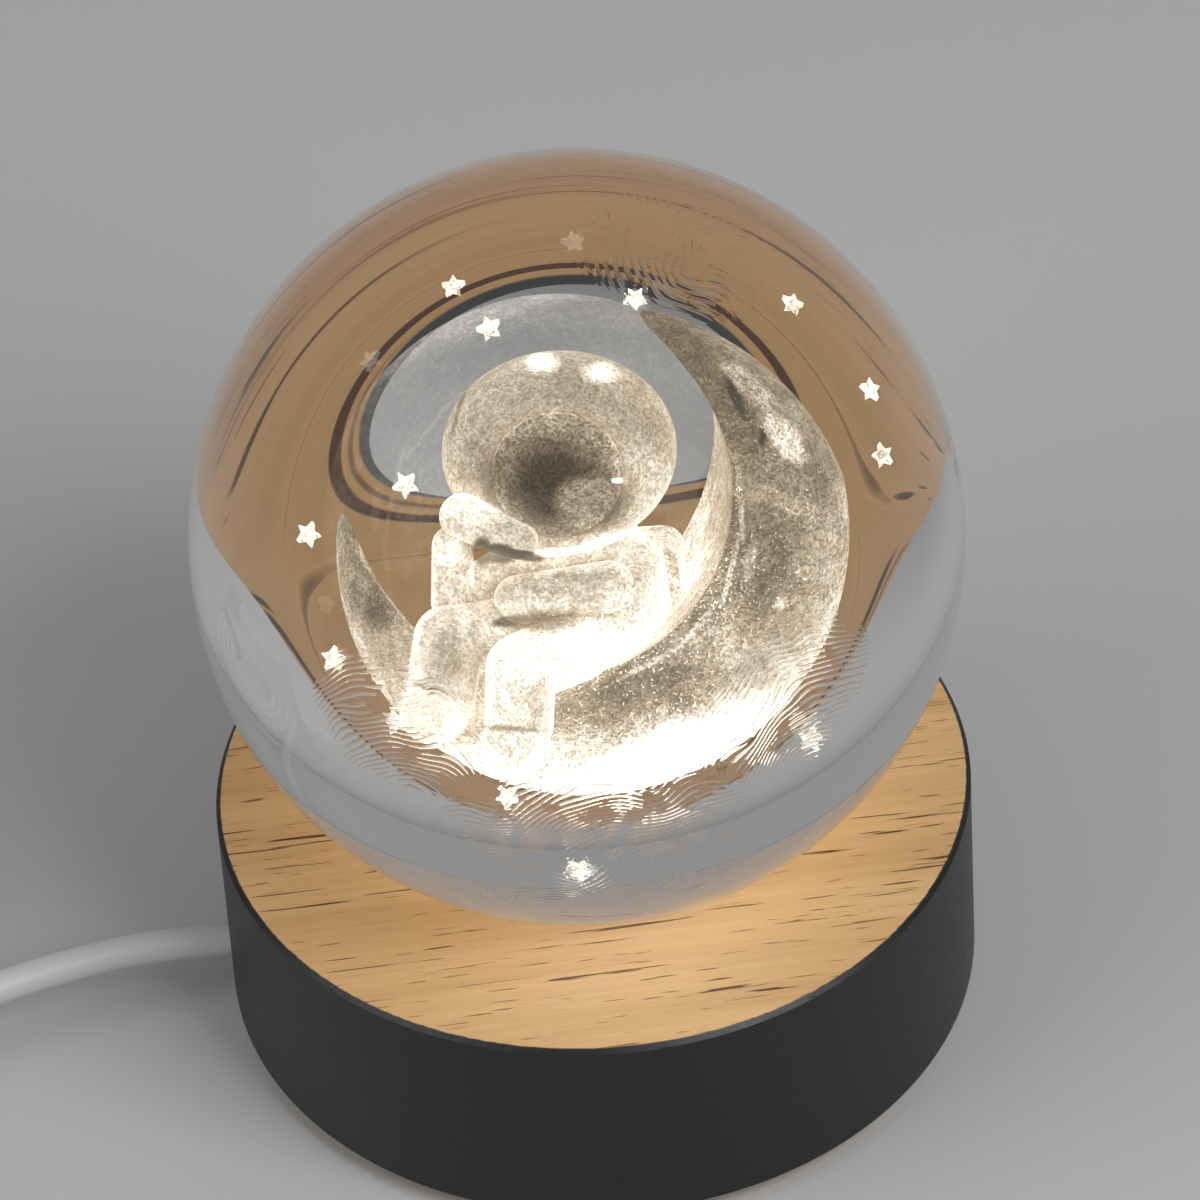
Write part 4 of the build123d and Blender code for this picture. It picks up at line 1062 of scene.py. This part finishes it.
@dataclass
class CoilTie:
    """The strap round the coil: a woven band on a rounded oblong, with its end lapped over the top.

    Attributes:
        centre: the coil's middle, in millimetres, as are all lengths here.
        angle: where on the coil it sits, in degrees.
        inner: how near to the coil's middle the band's outside comes.
        outer: how far from the coil's middle the band's outside reaches.
        height: of the band's outside.
        thickness: of the band.
        width: of the band.
        corner: radius of the oblong's corners.
        soft_edge: how far the band's edges are rounded.
        lap: how far the lapped end reaches each side of the top, in degrees of the oblong's turn.
        steps: points round the oblong.
        section: points of the band's section.
    """

    centre: tuple[float, float] = COIL_CENTRE
    angle: float = 120.0
    inner: float = 9.2
    outer: float = 23.95
    height: float = 7.4
    thickness: float = 0.5
    width: float = 4.0
    corner: float = 1.9
    soft_edge: float = 0.14
    lap: float = 35.0
    steps: int = 64
    section: int = 8

    def band(self, turn: np.ndarray, lift: float) -> np.ndarray:
        """The band's section carried round the oblong.

        A point of the oblong at angle t is the middle of its corner's circle plus corner times
        (cos t, sin t), and the section has eight points, its corners cut off by the soft edge.

        Args:
            turn: angles round the oblong, in radians.
            lift: how far outside the oblong the band's outside lies.
        Returns:
            The points, ring after ring, in millimetres.
        """
        half = np.array([self.outer - self.inner, self.height]) / 2
        ray = np.stack([np.cos(turn), np.sin(turn)], axis=1)
        outline = np.sign(ray) * (half - self.corner) + self.corner * ray
        edge, thick = self.soft_edge, self.thickness
        deep = np.array([0, 0, edge, thick - edge, thick, thick, thick - edge, edge])
        side = self.width / 2 - np.array([edge, edge, 0, 0, edge, edge, 0, 0])
        side = side * np.array([-1, 1, 1, 1, 1, -1, -1, -1])
        flat = outline[:, None, :] + ray[:, None, :] * (lift - deep)[None, :, None]
        radial = flat[..., 0] + (self.inner + self.outer) / 2
        up = flat[..., 1] + half[1]
        across = np.broadcast_to(side, up.shape)
        cos, sin = math.cos(math.radians(self.angle)), math.sin(math.radians(self.angle))
        return np.stack([self.centre[0] + radial * cos + across * sin,
                         self.centre[1] + radial * sin - across * cos, up], axis=-1).reshape(-1, 3)

    def build(self) -> bpy.types.Object:
        """Make the band and its lapped end.

        Returns:
            The piece.
        """
        full = 2 * np.pi * (np.arange(self.steps) + 0.5) / self.steps
        short = np.radians(90 + np.linspace(-self.lap, self.lap, self.steps // 4))
        points = np.vstack([self.band(full, 0.0), self.band(short, self.thickness)])
        start = self.steps * self.section
        faces = np.vstack([ring_faces(self.steps, self.section, joined=True),
                           ring_faces(len(short), self.section) + start])
        ends = ring_ends(start, len(short), self.section)
        mesh = mesh_of("coil_strap", points, faces.tolist() + ends, smooth=False)
        return new_piece("coil_strap", mesh, STRAP, Body.BASE, ["coil_tie"])


@dataclass
class CrystalBall:
    """The solid ball, as one finely divided sphere.

    Attributes:
        rings: faces from pole to pole.
        sides: faces round the ball.
    """

    rings: int = 160
    sides: int = 320

    def build(self) -> None:
        """Make the ball: radius times (cos v, sin v cos u, sin v sin u), with its poles left and right."""
        v = np.pi * np.arange(1, self.rings) / self.rings
        u = 2 * np.pi * np.arange(self.sides) / self.sides
        grid_v, grid_u = np.meshgrid(v, u, indexing="ij")
        side = np.stack([np.cos(grid_v), np.sin(grid_v) * np.cos(grid_u), np.sin(grid_v) * np.sin(grid_u)],
                        axis=-1)
        points = np.vstack([side.reshape(-1, 3), [[1, 0, 0], [-1, 0, 0]]]) * BALL_RADIUS + BALL_CENTRE
        here = np.arange(self.sides)
        after = (here + 1) % self.sides
        last = (self.rings - 2) * self.sides
        right_pole = np.full(self.sides, len(points) - 2)
        caps = np.vstack([np.stack([right_pole, here, after], axis=-1),
                          np.stack([right_pole + 1, last + after, last + here], axis=-1)])
        faces = ring_faces(self.rings - 1, self.sides).tolist() + caps.tolist()
        new_piece("polished_ball", mesh_of("crystal_ball", points, faces), CRYSTAL, Body.BALL,
                  ["crystal_ball"])


@dataclass
class Helmet:
    """The engraved helmet: a broad rounded shell with a rim round the pocket that holds the visor.

    Attributes:
        centre: right, up and towards the viewer in the picture, in millimetres, as are all lengths here.
        look: the direction that the visor faces, in the same terms.
        radius: of the shell, upwards and to the front.
        breadth: how much wider the shell is than high.
        visor_radius: of the pocket.
        floor: height of the pocket's floor over the shell's middle.
        rim: half the thickness of the rim.
        rim_lift: how far the rim's middle stands over the shell.
        tip: radius of the floor's smallest ring, which one face closes.
        back_gap: how far short of the back's middle the last ring is, in radians.
        steps: points on each stretch of the profile.
        sides: points round the shell.
    """

    centre: Point = (-0.6, 5.2, 1.5)
    look: Point = (-0.06, -0.06, 0.98)
    radius: float = 5.35
    breadth: float = 1.17
    visor_radius: float = 3.8
    floor: float = 3.15
    rim: float = 0.3
    rim_lift: float = 0.25
    tip: float = 0.02
    back_gap: float = 0.004
    steps: int = 40
    sides: int = 160

    def profile(self) -> np.ndarray:
        """Radius and height from the pocket's floor over the rim and round the shell to its back.

        The floor is a flat disc and the wall stands on it. The rim is half a circle, and the shell an arc of
        its radius from the rim's foot to just short of the back.

        Returns:
            One row for each point.
        """
        foot = self.visor_radius + 2 * self.rim
        rim_height = math.sqrt(self.radius**2 - foot**2) + self.rim_lift
        floor = np.stack([np.linspace(self.tip, self.visor_radius, self.steps),
                          np.full(self.steps, self.floor)], axis=1)
        round_rim = np.linspace(np.pi, 0, self.steps // 2)
        ring = np.stack([self.visor_radius + self.rim + self.rim * np.cos(round_rim),
                         rim_height + self.rim * np.sin(round_rim)], axis=1)
        polar = np.linspace(math.asin(foot / self.radius), np.pi - self.back_gap, 2 * self.steps)
        shell = self.radius * np.stack([np.sin(polar), np.cos(polar)], axis=1)
        return np.vstack([floor, ring, shell])

    def build(self) -> None:
        """Turn the profile about the visor's axis, and widen the shell to the sides beyond the rim."""
        ahead = np.array(self.look) / np.linalg.norm(self.look)
        side = np.cross([0.0, 1.0, 0.0], ahead)
        side = side / np.linalg.norm(side)
        top = np.cross(ahead, side)
        out, high = self.profile().T
        angle = 2 * np.pi * np.arange(self.sides) / self.sides
        far = np.clip((out - self.visor_radius) / (self.radius - self.visor_radius), 0, 1)
        behind = np.where(high < 0, 1.0, far * far * (3 - 2 * far))
        wide = out * (1 + (self.breadth - 1) * behind)
        local = (np.multiply.outer(wide, np.cos(angle))[..., None] * side
                 + np.multiply.outer(out, np.sin(angle))[..., None] * top
                 + high[:, None, None] * ahead)
        picture = np.stack([PICTURE_RIGHT, PICTURE_UP, PICTURE_FRONT])
        points = (local + np.array(self.centre)).reshape(-1, 3) @ picture + BALL_CENTRE
        faces = ring_faces(len(out), self.sides).tolist() + ring_ends(0, len(out), self.sides)
        new_piece("laser_helmet", mesh_of("laser_helmet", points, faces), HELMET_CRACKS, Body.BALL,
                  ["engraved_helmet"])


@dataclass(frozen=True)
class Panel:
    """A square soft lamp.

    Attributes:
        name: the lamp's name.
        place: where it hangs, in metres.
        size: its side, in metres.
        power: in watts.
    """

    name: str
    place: Point
    size: float
    power: float


@dataclass
class Studio:
    """Pale floor, soft lamps and a quiet grey room.

    Attributes:
        floor: colour of the floor.
        room: grey of the room.
        floor_radius: how far the floor reaches, in metres.
        floor_sides: corners of the floor.
        panels: the soft lamps.
        aim: the point that they look at, in metres.
        glow: colour of the light that the engraving throws on the wood.
        glow_power: in watts.
        glow_place: where that light comes from, in metres.
        glow_radius: in metres.
    """

    floor: str = "BEBEBE"
    room: str = "8A8A8A"
    floor_radius: float = 0.9
    floor_sides: int = 96
    panels: tuple[Panel, ...] = (
        Panel("key", (0.42, -0.42, 0.62), 0.45, 4.2),
        Panel("fill", (-0.55, -0.25, 0.45), 0.5, 1.6),
    )
    aim: Point = (0, 0, 0.03)
    glow: str = "FFD9A0"
    glow_power: float = 0.016
    glow_place: Point = (0, 0, 0.042)
    glow_radius: float = 0.012

    def group(self, name: str, pieces: list[bpy.types.Object], linking: Linking) -> bpy.types.Collection:
        """A group of pieces for a lamp's light linking.

        Args:
            name: the group's name.
            pieces: what is in it.
            linking: whether the lamp minds them or passes them by.
        Returns:
            The group.
        """
        made = bpy.data.collections.new(name)
        for index, piece in enumerate(pieces):
            made.objects.link(piece)
            made.collection_objects[index].light_linking.link_state = linking.value
        return made

    def hang(self, panel: Panel) -> None:
        """Hang a soft lamp that looks at the object and doesn't show in the ball.

        Args:
            panel: its name, place, size and power.
        """
        data = bpy.data.lights.new(panel.name, "AREA")
        data.size = panel.size
        data.energy = panel.power
        lamp = in_scene(panel.name, data)
        lamp.location = panel.place
        lamp.rotation_mode = "QUATERNION"
        lamp.rotation_quaternion = (Vector(self.aim) - Vector(panel.place)).to_track_quat("-Z", "Y")
        lamp.visible_transmission = False
        ball = bpy.data.objects["polished_ball"]
        spared = self.group(panel.name + "_spares_the_ball", [ball], Linking.EXCLUDE)
        lamp.light_linking.receiver_collection = spared

    def light_engraving(self) -> None:
        """Light the wood alone from inside the ball, through the ball and the engraving."""
        data = bpy.data.lights.new("engraving_glow", "POINT")
        data.energy = self.glow_power
        data.color = linear(self.glow)[:3]
        data.shadow_soft_size = self.glow_radius
        lamp = in_scene("engraving_glow", data)
        lamp.location = self.glow_place
        lamp.visible_camera = False
        lamp.visible_glossy = False
        lamp.visible_transmission = False
        nodes = frame["nodes"]
        inside = [bpy.data.objects["polished_ball"], bpy.data.objects["laser_helmet"]]
        inside += [node for name, node in nodes.items() if name.startswith("engraved_")]
        linking = lamp.light_linking
        linking.receiver_collection = self.group("takes_the_glow", [nodes["wood_base"]], Linking.INCLUDE)
        linking.blocker_collection = self.group("lets_the_glow_out", inside, Linking.EXCLUDE)

    def build(self) -> None:
        """Make the floor, the room and the lamps."""
        angle = 2 * np.pi * np.arange(self.floor_sides) / self.floor_sides
        rim = np.stack([np.cos(angle), np.sin(angle), np.zeros(self.floor_sides)], axis=1)
        mesh = mesh_of("floor", rim * self.floor_radius / MM, [list(range(self.floor_sides))])
        floor = in_scene("floor", mesh)
        mesh.materials.append(Finish("matt_floor", self.floor, 0.75).make())
        world = bpy.data.worlds.new("room")
        world.use_nodes = True
        sky = next(node for node in world.node_tree.nodes if node.type == "BACKGROUND")
        feed(world.node_tree, sky, {"Color": linear(self.room), "Strength": 1.0})
        bpy.context.scene.world = world
        for panel in self.panels:
            self.hang(panel)
        self.light_engraving()


def dress_nodes() -> None:
    """Give each CAD node that shows its finish, and let the light through the window."""
    for name, finish in NODE_FINISHES.items():
        node = frame["nodes"][name]
        material = finish.make()
        if not node.material_slots:
            node.data.materials.append(material)
        for slot in node.material_slots:
            slot.material = material
        LOG.info("%s is %s", name, finish.name)
    frame["nodes"]["light_window"].visible_shadow = False


def main() -> None:
    """Build the pieces in order."""
    logging.basicConfig(level=logging.INFO, format="%(message)s")
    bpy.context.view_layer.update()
    bpy.context.scene.view_settings.view_transform = "Standard"
    PortraitCamera().build()
    PowerCord().build(CoilTie().build())
    dress_nodes()
    CrystalBall().build()
    Helmet().build()
    Studio().build()


if __name__ == "__main__":
    main()
